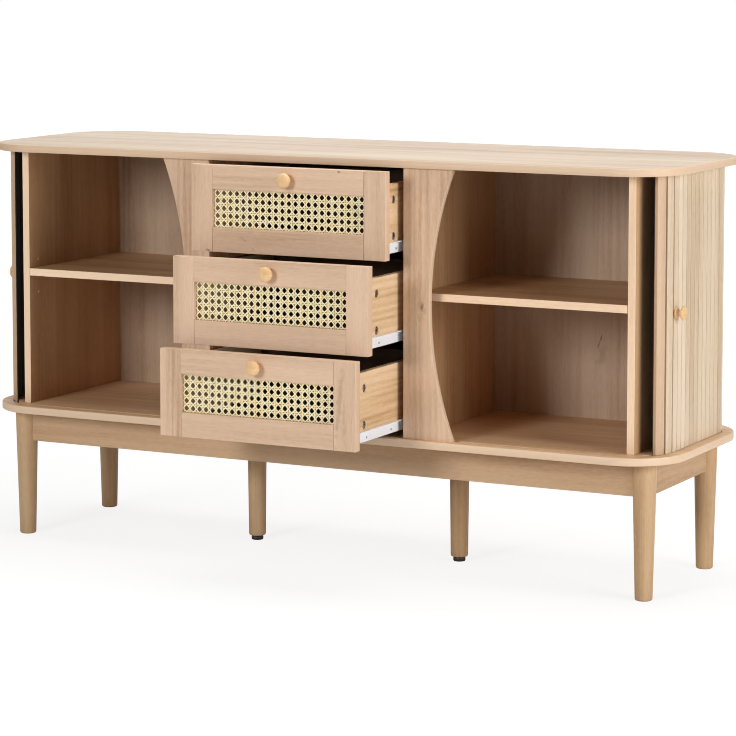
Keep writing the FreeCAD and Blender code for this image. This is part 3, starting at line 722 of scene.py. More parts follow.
def turned(stock, profile, place, axis, shift, segments=40):
    """Turn a (radius, height) profile about an axis, closed at both ends."""
    turn = Vector(UP).rotation_difference(Vector(axis)).to_matrix()
    points, faces, places = [], [], []
    for radius, height in profile:
        for step in range(segments):
            angle = 2 * math.pi * step / segments
            point = Vector((radius * math.cos(angle), radius * math.sin(angle), height))
            points.append(turn @ point + Vector(place))
    widest = max(radius for radius, _ in profile)
    along = running(profile)
    for ring in range(len(profile) - 1):
        for step in range(segments):
            a, b = ring * segments + step, ring * segments + (step + 1) % segments
            faces.append([a, b, b + segments, a + segments])
            for row, col in ((ring, step), (ring, step + 1), (ring + 1, step + 1), (ring + 1, step)):
                round_ = 2 * math.pi * widest * col / segments
                places.append((along[row] + shift[0], round_ + shift[1]))
    last = (len(profile) - 1) * segments
    for ring, order in ((0, range(segments - 1, -1, -1)), (last, range(segments))):
        faces.append([ring + step for step in order])
        places += [(points[ring + step][0] + shift[0], points[ring + step][1] + shift[1]) for step in order]
    stock.add(points, faces, places)


def scaled(shape, radius, tall):
    """A profile given in shares of its radius and height."""
    return [(radius * across, tall * up) for across, up in shape]


def between(a, b, c, d, t):
    """A smooth curve from b to c, with a before it and d after it."""
    square = (2 * a - 5 * b + 4 * c - d) * t * t
    return 0.5 * (2 * b + (c - a) * t + square + (3 * b - a - 3 * c + d) * t ** 3)


def rounded(points, steps):
    """A profile drawn through its points as a smooth line."""
    out = []
    count = len(points)
    for index in range(count - 1):
        around = [points[min(max(index + offset, 0), count - 1)] for offset in (-1, 0, 1, 2)]
        for step in range(steps):
            out.append(tuple(between(*values, step / steps) for values in zip(*around)))
    out.append(points[-1])
    low, high = (pick(height for _, height in points) for pick in (min, max))
    return [(max(radius, TIP), min(max(height, low), high)) for radius, height in out]


def piece(name, mesh, finishes, body, *nodes, slot=None):
    """Make a piece of the sideboard that rides on a body and stands for CAD nodes."""
    old = bpy.data.objects.get(name)
    if old:
        bpy.data.objects.remove(old)
    thing = linked(name, mesh)
    if finishes:
        slots = [face.material_index for face in mesh.polygons]
        mesh.materials.clear()
        for each in finishes:
            mesh.materials.append(finish(each))
        mesh.polygons.foreach_set("material_index", slots)
    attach(thing, body)
    if nodes:
        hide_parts(*nodes)
    return thing


def dress(node, name):
    """Give a finish to a CAD node that shows as it is."""
    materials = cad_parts[node].data.materials
    materials.clear()
    materials.append(finish(name))


def through_nodes(name, mesh, tree, values):
    """The mesh that a node tree makes of a start mesh, with the tree's inputs given by name."""
    carrier = linked(name, mesh)
    modifier = carrier.modifiers.new(name, "NODES")
    modifier.node_group = tree
    for item in tree.interface.items_tree:
        if item.item_type == "SOCKET" and item.in_out == "INPUT" and item.name in values:
            modifier[item.identifier] = values[item.name]
    return settled(carrier)


def new_tree(name, **inputs):
    """Nodes of a new geometry tree, its inputs and its output. Inputs are given as label=kind."""
    old = bpy.data.node_groups.get(name)
    if old:
        bpy.data.node_groups.remove(old)
    tree = bpy.data.node_groups.new(name, "GeometryNodeTree")
    tree.interface.new_socket("Geometry", in_out="INPUT", socket_type="NodeSocketGeometry")
    for label, kind in inputs.items():
        tree.interface.new_socket(label, in_out="INPUT", socket_type="NodeSocket" + kind)
    tree.interface.new_socket("Geometry", in_out="OUTPUT", socket_type="NodeSocketGeometry")
    return Nodes(tree), tree.nodes.new("NodeGroupInput").outputs, tree.nodes.new("NodeGroupOutput")


def dressed(n, made, material, out):
    """End a geometry tree: its copies made real and given their finish."""
    real = n.put("GeometryNodeRealizeInstances", {"Geometry": made}).outputs[0]
    n.feed(out, {"Geometry": n.put("GeometryNodeSetMaterial", {
        "Geometry": real, "Material": material}).outputs[0]})
    return n.tree


def mesh_line(n, count, start, step):
    """Points in a straight line."""
    return n.put("GeometryNodeMeshLine", {
        "Count": count, "Start Location": start, "Offset": step}, mode="OFFSET").outputs[0]


def row_tree():
    """Copies of the start mesh in a straight row, turned alike, each with its own part of the figure."""
    n, given, out = new_tree(
        "row_of_copies", Count="Int", Start="Vector", Step="Vector", Turn="Vector", Seed="Int",
        Finish="Material")
    turn = n.put("FunctionNodeEulerToRotation", {0: given["Turn"]}).outputs[0]
    copies = n.put("GeometryNodeInstanceOnPoints", {
        "Points": mesh_line(n, given["Count"], given["Start"], given["Step"]),
        "Instance": given["Geometry"], "Rotation": turn}).outputs[0]
    drawn = n.put("FunctionNodeRandomValue", {
        0: (0.0, 0.0, -1.0), 1: (FIGURE_SPAN, FIGURE_SPAN, 1.0), "Seed": given["Seed"]},
        data_type="FLOAT_VECTOR").outputs[0]
    stored = n.put("GeometryNodeStoreNamedAttribute", {
        "Geometry": copies, "Name": SHIFT, "Value": drawn},
        data_type="FLOAT_VECTOR", domain="INSTANCE").outputs[0]
    return dressed(n, stored, given["Finish"], out)


def row_of(name, mesh, material, start, step, count, turn=(0, 0, 0), seed=1):
    """A row of copies of a mesh as one plain mesh."""
    tree = bpy.data.node_groups.get("row_of_copies") or row_tree()
    return through_nodes(name, mesh, tree, {
        "Count": count, "Start": tuple(start), "Step": tuple(step), "Turn": tuple(turn), "Seed": seed,
        "Finish": finish(material)})


def gathered(name, meshes):
    """Several meshes as one."""
    both = bmesh.new()
    for mesh in meshes:
        both.from_mesh(mesh)
        bpy.data.meshes.remove(mesh)
    return mesh_of(both, name)


def corner_centre():
    """Centre of the right-hand rear corner in plan, for the boards' rims and the doors' run."""
    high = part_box("top_board")[1]
    return Vector((high.x - sizes().corner, high.y - sizes().corner))


def rim_line():
    """Plan of the top and bottom boards, in order round the rim."""
    centre, line = corner_centre(), []
    for sx, sy, start in ((1, -1, -90), (1, 1, 0), (-1, 1, 90), (-1, -1, 180)):
        line += [Vector(p) for p in arc((sx * centre.x, sy * centre.y), sizes().corner, start, RIM_STEPS)]
    return line


def groove_cutter(level):
    """The room that the doors' grooves take out of a board, below and above a level."""
    s = sizes()
    centre = corner_centre()
    inner = s.path_radius - s.canvas / 2 - GROOVE_SLACK
    outer = s.path_radius + s.canvas / 2 + s.slat + GROOVE_SLACK
    front_end = GROOVE_FRONT_END - GROOVE_SLACK
    back_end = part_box("right_rear_slats")[0].x - 2 * GROOVE_SLACK
    bm = bmesh.new()
    for side in (1, -1):
        walls = []
        for radius in (inner, outer):
            walls.append([
                (front_end, -centre.y - radius), *arc((centre.x, -centre.y), radius, -90, GROOVE_STEPS),
                *arc(centre, radius, 0, GROOVE_STEPS), (back_end, centre.y + radius)])
        low, high = (
            [[bm.verts.new((side * x, y, z)) for x, y in wall] for wall in walls]
            for z in (level - GROOVE_DEPTH, level + GROOVE_DEPTH))
        for i in range(len(walls[0]) - 1):
            j = i + 1
            bm.faces.new((low[0][i], low[0][j], low[1][j], low[1][i]))
            bm.faces.new((high[0][i], high[1][i], high[1][j], high[0][j]))
            for k in (0, 1):
                bm.faces.new((low[k][i], high[k][i], high[k][j], low[k][j]))
        for i in (0, -1):
            bm.faces.new((low[0][i], low[1][i], high[1][i], high[0][i]))
    bmesh.ops.recalc_face_normals(bm, faces=bm.faces[:])
    return mesh_of(bm, "groove")


def prism(outline, first, second):
    """A bmesh between two copies of an outline, each made by a function from plan to space."""
    bm = bmesh.new()
    start, end = ([bm.verts.new(place(*p)) for p in outline] for place in (first, second))
    bm.faces.new(start[::-1])
    bm.faces.new(end)
    for i, j in zip(range(len(outline)), [*range(1, len(outline)), 0]):
        if (Vector(outline[i]) - Vector(outline[j])).length > SAME_PLACE:
            bm.faces.new((start[i], start[j], end[j], end[i]))
    return bm


RIM_SHARP = 38
RIM_FACES_UP = 0.75


def rim_board(name, groove, shift):
    """A top or bottom board: round corners, rounded rims, a groove for the doors, and an edge band."""
    low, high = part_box(name)
    corner = sizes().corner
    line = rim_line()
    bm = prism(line, lambda x, y: (x, y, low.z), lambda x, y: (x, y, high.z))
    bmesh.ops.remove_doubles(bm, verts=bm.verts[:], dist=SAME_PLACE)
    bevel(bm, level_edges(bm, Z), sizes().rim_round, 3)
    mesh = cut(mesh_of(bm, "rim_board"), groove)
    lengths = running(line)
    stock = Stock()

    def round_rim(co):
        return lengths[min(range(len(line)), key=lambda i: (line[i] - co.xy).length_squared)]

    def from_rim(co):
        out = (max(abs(co[axis]) - high[axis] + corner, 0.0) for axis in (X, Y))
        return corner - math.hypot(*out)

    for face in mesh.polygons:
        points = [mesh.vertices[index].co.copy() for index in face.vertices]
        on_face = abs(face.normal.z) > RIM_FACES_UP or all(from_rim(p) > RIM_WIDTH for p in points)
        if on_face:
            places = [(p.x + shift[0], p.y + shift[1]) for p in points]
        else:
            start = round_rim(points[0])
            places = []
            for p in points:
                along = round_rim(p)
                if abs(along - start) > lengths[-1] / 2:
                    along += lengths[-1] if along < start else -lengths[-1]
                places.append((along + shift[0], p.z + shift[1]))
        smooth = abs(face.normal.z) <= Stock.FLAT
        stock.add(points, [list(range(len(points)))], places, smooth, 0 if on_face else 1)
    bpy.data.meshes.remove(mesh)
    made = stock.mesh(name + "_wood")
    mended(made, bmesh.ops.remove_doubles, "verts", dist=SAME_PLACE)
    made.set_sharp_from_angle(angle=math.radians(RIM_SHARP))
    return made


class SIDEBOARD_OT_rim_boards(bpy.types.Operator):
    """Make the top and bottom boards with round corners and door grooves"""

    bl_idname = "sideboard.rim_boards"
    bl_label = "Top and bottom boards"

    def execute(self, context):
        # The top's face has painted sheen and the bottom board's face painted light
        for index, (name, face) in enumerate((("top_board", "oak_top"), ("bottom_board", "oak_base"))):
            low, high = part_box(name)
            groove = groove_cutter(high.z if index else low.z)
            mesh = rim_board(name, groove, figure_shift("rims", index))
            piece(name + "_wood", mesh, (face, "rim_band"), CABINET, name, slot="oak")
        return {"FINISHED"}


def pin_places(start):
    """Places of a panel's shelf pin holes, in the face that lies at start."""
    low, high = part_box("shelf_pins")
    middle = (low.z + high.z) / 2
    depths = ((low.y + high.y) / 2 + sign * (high.y - low.y - PIN_DIAMETER) / 2 for sign in (-1, 1))
    return [(start, y, middle + step * sizes().pin_pitch) for y in depths for step in (-1, 0, 1)]


class SIDEBOARD_OT_carcass(bpy.types.Operator):
    """Make the side panels, partitions, fascias, back and shelves"""

    bl_idname = "sideboard.carcass"
    bl_label = "Carcass"
    # How far the second panel of a pair lies from the first in the figure
    PANEL_SHIFT = (2.3, 1.7)

    def execute(self, context):
        self.panels("side_panels", 1)
        self.panels("partitions", -1)
        self.fascias()
        stock = Stock()
        stock.take(board(*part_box("back_panel"), BACK_EASED), Z, figure_shift("back"))
        piece(
            "back_board", stock.mesh("back_board"), ("back_oak",), CABINET, "back_panel", slot="back_board")
        self.shelves()
        return {"FINISHED"}

    def panels(self, node, face):
        """Two upright panels with shelf pin holes in the faces towards the bays."""
        s = sizes()
        low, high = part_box(node)
        inner, outer = high.x - s.board, high.x
        stock = Stock()
        for index, (_, side) in enumerate(SIDES):
            places = pin_places(side * (inner if face > 0 else outer))
            mesh = cut(
                sided_board(side, inner, outer, low, high),
                drills(places, s.pin_hole, s.pin_depth, (side * face, 0, 0)))
            own = tuple(part + step * index for part, step in zip(figure_shift(node), self.PANEL_SHIFT))
            stock.take(mesh, Z, own, FRONT)
        # Front edges take the edge band, paler with painted light
        piece(node + "_wood", stock.mesh(node), ("oak_board", "edge_band"), CABINET, node, slot="oak")

    def fascias(self):
        """The two front boards, hollowed along the outer edge."""
        s = sizes()
        low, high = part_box("fascias")
        middle, half = (low.z + high.z) / 2, (high.z - low.z) / 2
        radius = (half ** 2 + s.hollow ** 2) / (2 * s.hollow)
        inner = high.x - s.fascia_end
        outline = [(inner, low.z)]
        for step in range(FASCIA_STEPS + 1):
            z = low.z + (high.z - low.z) * step / FASCIA_STEPS
            dip = math.sqrt(radius ** 2 - (z - middle) ** 2) - (radius - s.hollow)
            outline.append((high.x - dip, z))
        outline.append((inner, high.z))
        stock = Stock()
        for index, (_, side) in enumerate(SIDES):
            bm = prism(outline, lambda x, z: (side * x, low.y, z), lambda x, z: (side * x, high.y, z))
            bmesh.ops.recalc_face_normals(bm, faces=bm.faces[:])
            bevel(bm, level_edges(bm, Y), s.eased)
            stock.take(mesh_of(bm, "fascia"), Z, figure_shift("fascias", index), (side, 0, 0))
        piece(
            "fascias_wood", stock.mesh("fascias"), ("oak_front", "rim_band"), CABINET, "fascias", slot="oak")

    def shelves(self):
        """The two shelves, and the steel of their pins."""
        low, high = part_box("shelves")
        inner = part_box("partitions")[1].x + (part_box("side_panels")[1].x - sizes().board - high.x)
        stock = Stock()
        for index, (_, side) in enumerate(SIDES):
            stock.take(sided_board(side, inner, high.x, low, high), X, figure_shift("shelves", index), FRONT)
        # Front edges take the edge band, paler with painted light
        piece(
            "shelves_wood", stock.mesh("shelves"), ("oak_board", "edge_band"), CABINET, "shelves", slot="oak")
        dress("shelf_pins", "plain_steel")


FOOT_STEPS = 6
LEG_STEPS = 8
LEG_SHARP = 50


def leg_profile(top, foot, tall, bore=None):
    """Half section of a tapered leg, rounded at the foot, with a (radius, depth) bore for a foot's stem."""
    r = sizes().foot_round
    line = [(TIP, bore[1]), bore, (bore[0], 0.0)] if bore else [(TIP, 0.0)]
    for step in range(FOOT_STEPS + 1):
        angle = QUARTER * step / FOOT_STEPS
        line.append((foot / 2 - r + r * math.sin(angle), r - r * math.cos(angle)))
    for step in range(1, LEG_STEPS + 1):
        t = step / LEG_STEPS
        line.append((foot / 2 + (top - foot) / 2 * t, r + (tall - r) * t))
    line.append((TIP, tall))
    return line


# Half sections in shares of the radius and height
FOOT_SHAPE = ((0, 0), (0.80, 0), (0.97, 0.12), (1, 0.35), (1, 0.62), (0.93, 0.85), (0.7, 0.96))
FOOT_TOP = 0.965
DRAWER_KNOB = (
    (0.44, 0), (0.41, 0.15), (0.42, 0.30), (0.60, 0.37), (0.92, 0.48), (1, 0.62), (0.965, 0.77), (0.82, 0.90),
    (0.5, 0.98), (0, 1))
DOOR_KNOB = (
    (0.86, 0), (0.885, 0.07), (0.84, 0.15), (0.6, 0.25), (0.43, 0.38), (0.45, 0.50), (0.66, 0.60),
    (0.95, 0.68), (1, 0.78), (0.96, 0.89), (0.72, 0.97), (0, 1))
FOOT_CURVE = 4
KNOB_CURVE = 5
SCREW_SHAPE = ((1, 0), (1, 0.5), (0.8, 0.9), (0.45, 1), (0.35, 0.5))
SOCKET_TIP = (0.0002, 0.5)


class SIDEBOARD_OT_base(bpy.types.Operator):
    """Make the legs, apron rails and levelling feet"""

    bl_idname = "sideboard.base"
    bl_label = "Base"

    def execute(self, context):
        s = sizes()
        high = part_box("legs")[1]
        leg_x, leg_y = high.x - s.leg_top / 2, high.y - s.leg_top / 2
        legs = Stock()
        for index, (sx, sy) in enumerate(((-1, -1), (1, -1), (-1, 1), (1, 1))):
            profile = leg_profile(s.leg_top, s.leg_foot, high.z)
            turned(legs, profile, (sx * leg_x, sy * leg_y, 0), UP, figure_shift("legs", index))
        bore = (s.stem / 2 + BORE_PLAY[0], s.stem_length + BORE_PLAY[1])
        centre_leg = leg_profile(s.centre_leg_top, s.centre_leg_foot, high.z - CENTRE_LEG_RISE, bore)
        for index, (side, _) in enumerate(SIDES):
            foot_low, foot_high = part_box(side + "_levelling_foot")
            place = (foot_low + foot_high) / 2
            place.z = CENTRE_LEG_RISE
            turned(legs, centre_leg, place, UP, figure_shift("centre_legs", index))
        piece("legs_wood", legs.mesh("legs", LEG_SHARP), ("turned_leg",), CABINET, "legs", slot="oak")
        for side, _ in SIDES:
            self.levelling_foot(side)
        self.aprons(leg_x, leg_y)
        return {"FINISHED"}

    def levelling_foot(self, side):
        """A black foot with a soft rim on a stem."""
        low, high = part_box(side + "_levelling_foot")
        stem, reach = sizes().stem / 2, CENTRE_LEG_RISE + sizes().stem_length
        outline = scaled(FOOT_SHAPE, (high.x - low.x) / 2, CENTRE_LEG_RISE)
        outline[0] = (TIP, 0)
        profile = rounded([*outline, (stem, CENTRE_LEG_RISE * FOOT_TOP)], FOOT_CURVE)
        profile += [(stem, reach), (TIP, reach)]
        middle = (low + high) / 2
        stock = Stock()
        turned(stock, profile, (middle.x, middle.y, 0), UP, (0, 0))
        piece(
            side + "_foot", stock.mesh("foot", LEG_SHARP), ("black_plastic",), side + "_levelling_foot_body",
            side + "_levelling_foot", slot="black_foot")

    def aprons(self, leg_x, leg_y):
        """Four rails, set into the legs."""
        low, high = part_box("aprons")
        half = sizes().apron / 2
        stock = Stock()
        for index, side in enumerate((-1, 1)):
            stock.take(board(
                (-leg_x, side * leg_y - half, low.z), (leg_x, side * leg_y + half, high.z)), X,
                figure_shift("long_rails", index))
        for index, side in enumerate((-1, 1)):
            stock.take(board(
                (side * leg_x - half, -leg_y, low.z), (side * leg_x + half, leg_y, high.z)), Y,
                figure_shift("short_rails", index))
        # The rails' finish is a little darker with painted shade from the bottom board above
        piece("aprons_wood", stock.mesh("aprons"), ("oak_rail",), CABINET, "aprons", slot="oak")


def groove_place(along):
    """Place on the right-hand door's canvas line, and the direction that a slat there faces."""
    radius = sizes().path_radius
    cx, cy = corner_centre()
    bend, run = radius * QUARTER, 2 * cy
    if along < bend:
        turn = along / radius
        return Vector((cx + radius * math.sin(turn), -cy - radius * math.cos(turn), 0)), turn
    if along < bend + run:
        return Vector((cx + radius, -cy + along - bend, 0)), QUARTER
    if along < 2 * bend + run:
        turn = (along - bend - run) / radius
        return Vector((cx + radius * math.cos(turn), cy + radius * math.sin(turn), 0)), QUARTER + turn
    return Vector((cx - (along - 2 * bend - run), cy + radius, 0)), math.pi


SLAT_SHARP = 30


def slat_mesh(width):
    """One upright slat that faces the front, its back on the canvas and its ends shouldered."""
    s = sizes()
    low, high = (corner.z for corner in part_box("right_slat_1"))
    back = -s.canvas / 2 - SLAT_GLUE
    half, r = width / 2 - s.slat_ease, s.slat_round

    def section(half, back, face):
        left = arc((-half + r, face + r), r, 180, SLAT_ROUND_STEPS)
        right = arc((half - r, face + r), r, 270, SLAT_ROUND_STEPS)
        return [(half, back), (-half, back), *left, *right]

    outline = section(half, back, back - s.slat)
    tongue = section(half - SLAT_PLAY, back - SLAT_PLAY, back - s.slat + s.shoulder)
    floor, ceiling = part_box("bottom_board")[1].z + SLAT_PLAY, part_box("top_board")[0].z - SLAT_PLAY
    rings = [
        (low, tongue), (floor, tongue), (floor, outline), (ceiling, outline), (ceiling, tongue),
        (high, tongue)]
    count = len(outline)
    points = [Vector((x, y, z)) for z, line in rings for x, y in line]
    along = running(outline, closed=True)
    faces, places = [], []
    for index, ((under, _), (over, _)) in enumerate(zip(rings, rings[1:])):
        base = index * count
        for i in range(count):
            j = (i + 1) % count
            faces.append([base + i + count, base + j + count, base + j, base + i])
            places += [(over, along[i]), (over, along[i + 1]), (under, along[i + 1]), (under, along[i])]
    last = count * (len(rings) - 1)
    faces += [list(range(count)), [last + i for i in range(count - 1, -1, -1)]]
    places += tongue + tongue[::-1]
    stock = Stock()
    stock.add(points, faces, places)
    mesh = stock.mesh("slat")
    mended(mesh, bmesh.ops.recalc_face_normals, "faces")
    mesh.set_sharp_from_angle(angle=math.radians(SLAT_SHARP))
    return mesh


def canvas_mesh(width):
    """The strip of canvas behind one slat."""
    low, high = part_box("right_tambour_cloth")
    half, edge = sizes().canvas / 2 - CANVAS_SHY, width / 2
    stock = Stock()
    stock.take(board((-edge, -half, low.z), (edge, half, high.z), CANVAS_EASED), Z, (0, 0))
    return stock.mesh("canvas")


# Body, CAD node, first slat and last slat of each group of slats that moves together
SLAT_GROUPS = (
    ("slat_1", "slat_1", 1, 1), ("front_slats", "front_slats", 2, 13),
    *((f"slat_{single}", f"slat_{single}", single, single) for single in range(14, 19)),
    ("pair_a", "pair_a_slats", 19, 20), ("pair_b", "pair_b_slats", 21, 22),
    ("rear_slats", "rear_slats", 23, 34))


class SIDEBOARD_OT_tambours(bpy.types.Operator):
    """Make the slats, lead stiles and canvas of the tambour doors"""

    bl_idname = "sideboard.tambours"
    bl_label = "Tambour doors"

    def execute(self, context):
        s = sizes()
        strip = s.slat_pitch - STRIP_GAP
        for side, sign in SIDES:
            at = groove_place(s.lead_at_rest + s.lead / 2)
            self.row(side, sign, "lead_stile", "lead_stile", at, Vector(), 1, s.stile_width, s.lead)
            for body, node, first, last in SLAT_GROUPS:
                at = groove_place(s.lead_at_rest + s.lead + (first - 0.5) * s.slat_pitch)
                step = Vector()
                if body == "front_slats":
                    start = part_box("right_front_slats")[0].y + s.slat_width / 2
                    at = Vector((groove_place(s.path_radius * QUARTER)[0].x, start, 0)), QUARTER
                    step = Vector((0, s.slat_pitch, 0))
                elif last > first:
                    step = Vector((-s.slat_pitch, 0, 0))
                self.row(side, sign, body, node, at, step, last - first + 1, s.slat_width, strip)
        return {"FINISHED"}

    def row(self, side, sign, body, node, at, step, count, width, strip):
        """The slats of one group and the canvas behind them."""
        place, turn = at
        seed = sum(ord(letter) for letter in side + body)
        laid = (
            Vector((sign * place.x, place.y, 0)), Vector((sign * step.x, step.y, 0)), count,
            (0, 0, sign * turn), seed)
        carrier = f"{side}_{body}_body"
        kind = "oak_lead" if body == "lead_stile" else "oak_slat"
        slats = row_of("slats", slat_mesh(width), kind, *laid)
        wood_piece = piece(f"{side}_{body}_wood", slats, None, carrier, f"{side}_{node}", slot="slat_oak")
        cloth = row_of("canvas", canvas_mesh(strip), "black_canvas", *laid)
        cloth_piece = piece(
            f"{side}_{body}_canvas", cloth, None, carrier, f"{side}_tambour_cloth", slot="canvas")


class SIDEBOARD_OT_drawer_fronts(bpy.types.Operator):
    """Make the drawers' framed fronts"""

    bl_idname = "sideboard.drawer_fronts"
    bl_label = "Drawer fronts"

    def execute(self, context):
        s = sizes()
        lap = s.lap + CANE_PLAY
        for index, name in enumerate(DRAWERS):
            low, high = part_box(name + "_drawer_front")
            inner = high.x - s.stile
            rebate = board(
                (-inner - lap, low.y + s.recess, low.z + s.rail - lap),
                (inner + lap, high.y + REBATE_OVERRUN, high.z - s.rail + lap), THIN_EASED)
            parts = (
                (-high.x, low.z, -inner - FRAME_JOINT, high.z, Z),
                (inner + FRAME_JOINT, low.z, high.x, high.z, Z),
                (-inner, low.z, inner, low.z + s.rail, X),
                (-inner, high.z - s.rail, inner, high.z, X))
            stock = Stock()
            for part, (left, foot, right, head, grain) in enumerate(parts):
                blank = board((left, low.y, foot), (right, high.y - FRONT_SHY, head))
                shift = figure_shift("fronts", PARTS_A_DRAWER * index + part)
                stock.take(cut(blank, rebate.copy()), grain, shift)
            bpy.data.meshes.remove(rebate)
            piece(
                name + "_front_wood", stock.mesh("drawer_front"), ("oak_front",), name + "_drawer",
                name + "_drawer_front", slot="oak")
        return {"FINISHED"}


WEAVE_STEPS = 4
STRAND_SIDES = 6
UPRIGHT_TONE, LEVEL_TONE, SLANT_TONE = 0.45, 0.52, 0.82


def cane_tree():
    """Woven cane: pairs of upright and level strands, and single strands on both slants."""
    n, given, out = new_tree("cane_net", **{
        "Half Width": "Float", "Half Height": "Float", "Columns": "Int", "Rows": "Int", "Strand": "Float",
        "Pair Gap": "Float", "Weave": "Float", "Lap": "Float", "Flatness": "Float", "Middle": "Vector",
        "Finish": "Material"})
    wide, tall, gap = given["Half Width"], given["Half Height"], given["Pair Gap"]
    columns, rows = given["Columns"], given["Rows"]

    def vector(x=0.0, y=0.0, z=0.0):
        return n.put("ShaderNodeCombineXYZ", {0: x, 1: y, 2: z}).outputs[0]

    def less(value):
        return n.times(value, -1.0)

    def copies(points, shape):
        made = n.put("GeometryNodeInstanceOnPoints", {"Points": points, "Instance": shape}).outputs[0]
        return n.put("GeometryNodeRealizeInstances", {"Geometry": made}).outputs[0]

    def bowed(lines, bow, tone):
        moved = n.put("GeometryNodeSetPosition", {"Geometry": lines, "Offset": vector(y=bow)}).outputs[0]
        return n.put("GeometryNodeStoreNamedAttribute", {
            "Geometry": moved, "Name": TONE, "Value": tone}, data_type="FLOAT", domain="POINT").outputs[0]

    column, row = n.over(n.times(wide, 2.0), columns), n.over(n.times(tall, 2.0), rows)
    here = n.put("ShaderNodeSeparateXYZ", {0: n.put("GeometryNodeInputPosition").outputs[0]}).outputs
    deep = n.over(given["Weave"], given["Flatness"])
    phase_x = n.times(n.over(n.plus(here[X], wide), column), math.pi)
    phase_z = n.times(n.over(n.plus(here[Z], tall), row), math.pi)
    wave = n.times(n.maths("COSINE", n.plus(phase_x, phase_z)), deep)
    ripple = n.times(n.maths("COSINE", n.times(phase_x, 2.0)), deep)
    reach_x, reach_z = n.plus(wide, given["Lap"]), n.plus(tall, given["Lap"])
    families = []

    # Pairs of strands that run along one axis, set out along the other
    for along, across, cells, reach, others, half, pitch, bow, tone in (
            ("z", "x", rows, reach_z, columns, wide, column, wave, UPRIGHT_TONE),
            ("x", "z", columns, reach_x, rows, tall, row, less(wave), LEVEL_TONE)):
        steps = n.times(cells, WEAVE_STEPS)
        strand = mesh_line(
            n, n.plus(steps, 1.0), vector(**{along: less(reach)}),
            vector(**{along: n.over(n.times(reach, 2.0), steps)}))
        pair = mesh_line(n, 2, vector(**{across: less(n.over(gap, 2.0))}), vector(**{across: gap}))
        stations = mesh_line(
            n, n.plus(others, 1.0), vector(**{across: less(half)}), vector(**{across: pitch}))
        families.append(bowed(copies(copies(stations, pair), strand), bow, tone))

    # Single strands on both slants, trimmed to the panel
    rise = n.plus(rows, 1.0)
    slant_steps = n.plus(n.times(rise, WEAVE_STEPS), 1.0)
    foot = n.minus(less(tall), n.times(row, 0.5))
    for lean in (1.0, -1.0):
        slant = mesh_line(n, slant_steps, vector(), vector(
            n.times(n.over(column, WEAVE_STEPS), lean), 0.0, n.over(row, WEAVE_STEPS)))
        begin = n.minus(less(wide), n.times(column, rise)) if lean > 0 else less(wide)
        feet = mesh_line(n, n.plus(n.plus(columns, rows), 3.0), vector(begin, 0.0, foot), vector(x=column))
        outside, too_high = (
            n.maths("GREATER_THAN", n.maths("ABSOLUTE", here[axis]), reach)
            for axis, reach in ((X, reach_x), (Z, reach_z)))
        kept = n.put("GeometryNodeDeleteGeometry", {
            "Geometry": copies(feet, slant), "Selection": n.maths("MAXIMUM", outside, too_high)},
            domain="POINT").outputs[0]
        families.append(bowed(kept, n.minus(n.times(ripple, lean), n.times(deep, 2.0)), SLANT_TONE))

    joined = n.put("GeometryNodeJoinGeometry")
    for strands in families:
        n.feed(joined, {0: strands})
    curves = n.put("GeometryNodeMeshToCurve", {"Mesh": joined.outputs[0]}).outputs[0]
    section = n.put("GeometryNodeCurvePrimitiveCircle", {
        "Resolution": STRAND_SIDES, "Radius": n.over(given["Strand"], 2.0)}).outputs[0]
    tubes = n.put("GeometryNodeCurveToMesh", {
        "Curve": curves, "Profile Curve": section, "Fill Caps": True}).outputs[0]
    flat = n.put("GeometryNodeTransform", {
        "Geometry": tubes, "Translation": given["Middle"],
        "Scale": vector(1.0, given["Flatness"], 1.0)}).outputs[0]
    smooth = n.put("GeometryNodeSetShadeSmooth", {"Geometry": flat}).outputs[0]
    return dressed(n, smooth, given["Finish"], out)


class SIDEBOARD_OT_cane(bpy.types.Operator):
    """Weave the drawers' cane panels"""

    bl_idname = "sideboard.cane"
    bl_label = "Cane panels"

    def execute(self, context):
        s = sizes()
        tree = cane_tree()
        for name in DRAWERS:
            low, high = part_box(name + "_cane")
            start = bpy.data.meshes.new("cane")
            start.from_pydata([(0, 0, 0)], [], [])
            mesh = through_nodes("cane", start, tree, {
                "Half Width": (high.x - low.x) / 2 - s.lap, "Half Height": (high.z - low.z) / 2 - s.lap,
                "Columns": s.columns, "Rows": s.rows, "Strand": s.strand, "Pair Gap": s.pair_gap,
                "Weave": s.weave, "Lap": s.lap - CANE_PLAY, "Flatness": CANE_FLATNESS,
                "Middle": ((low.x + high.x) / 2, (low.y + high.y) / 2 + CANE_SINK, (low.z + high.z) / 2),
                "Finish": finish("split_cane")})
            piece(name + "_cane_net", mesh, None, name + "_drawer", name + "_cane", slot="cane")
        return {"FINISHED"}


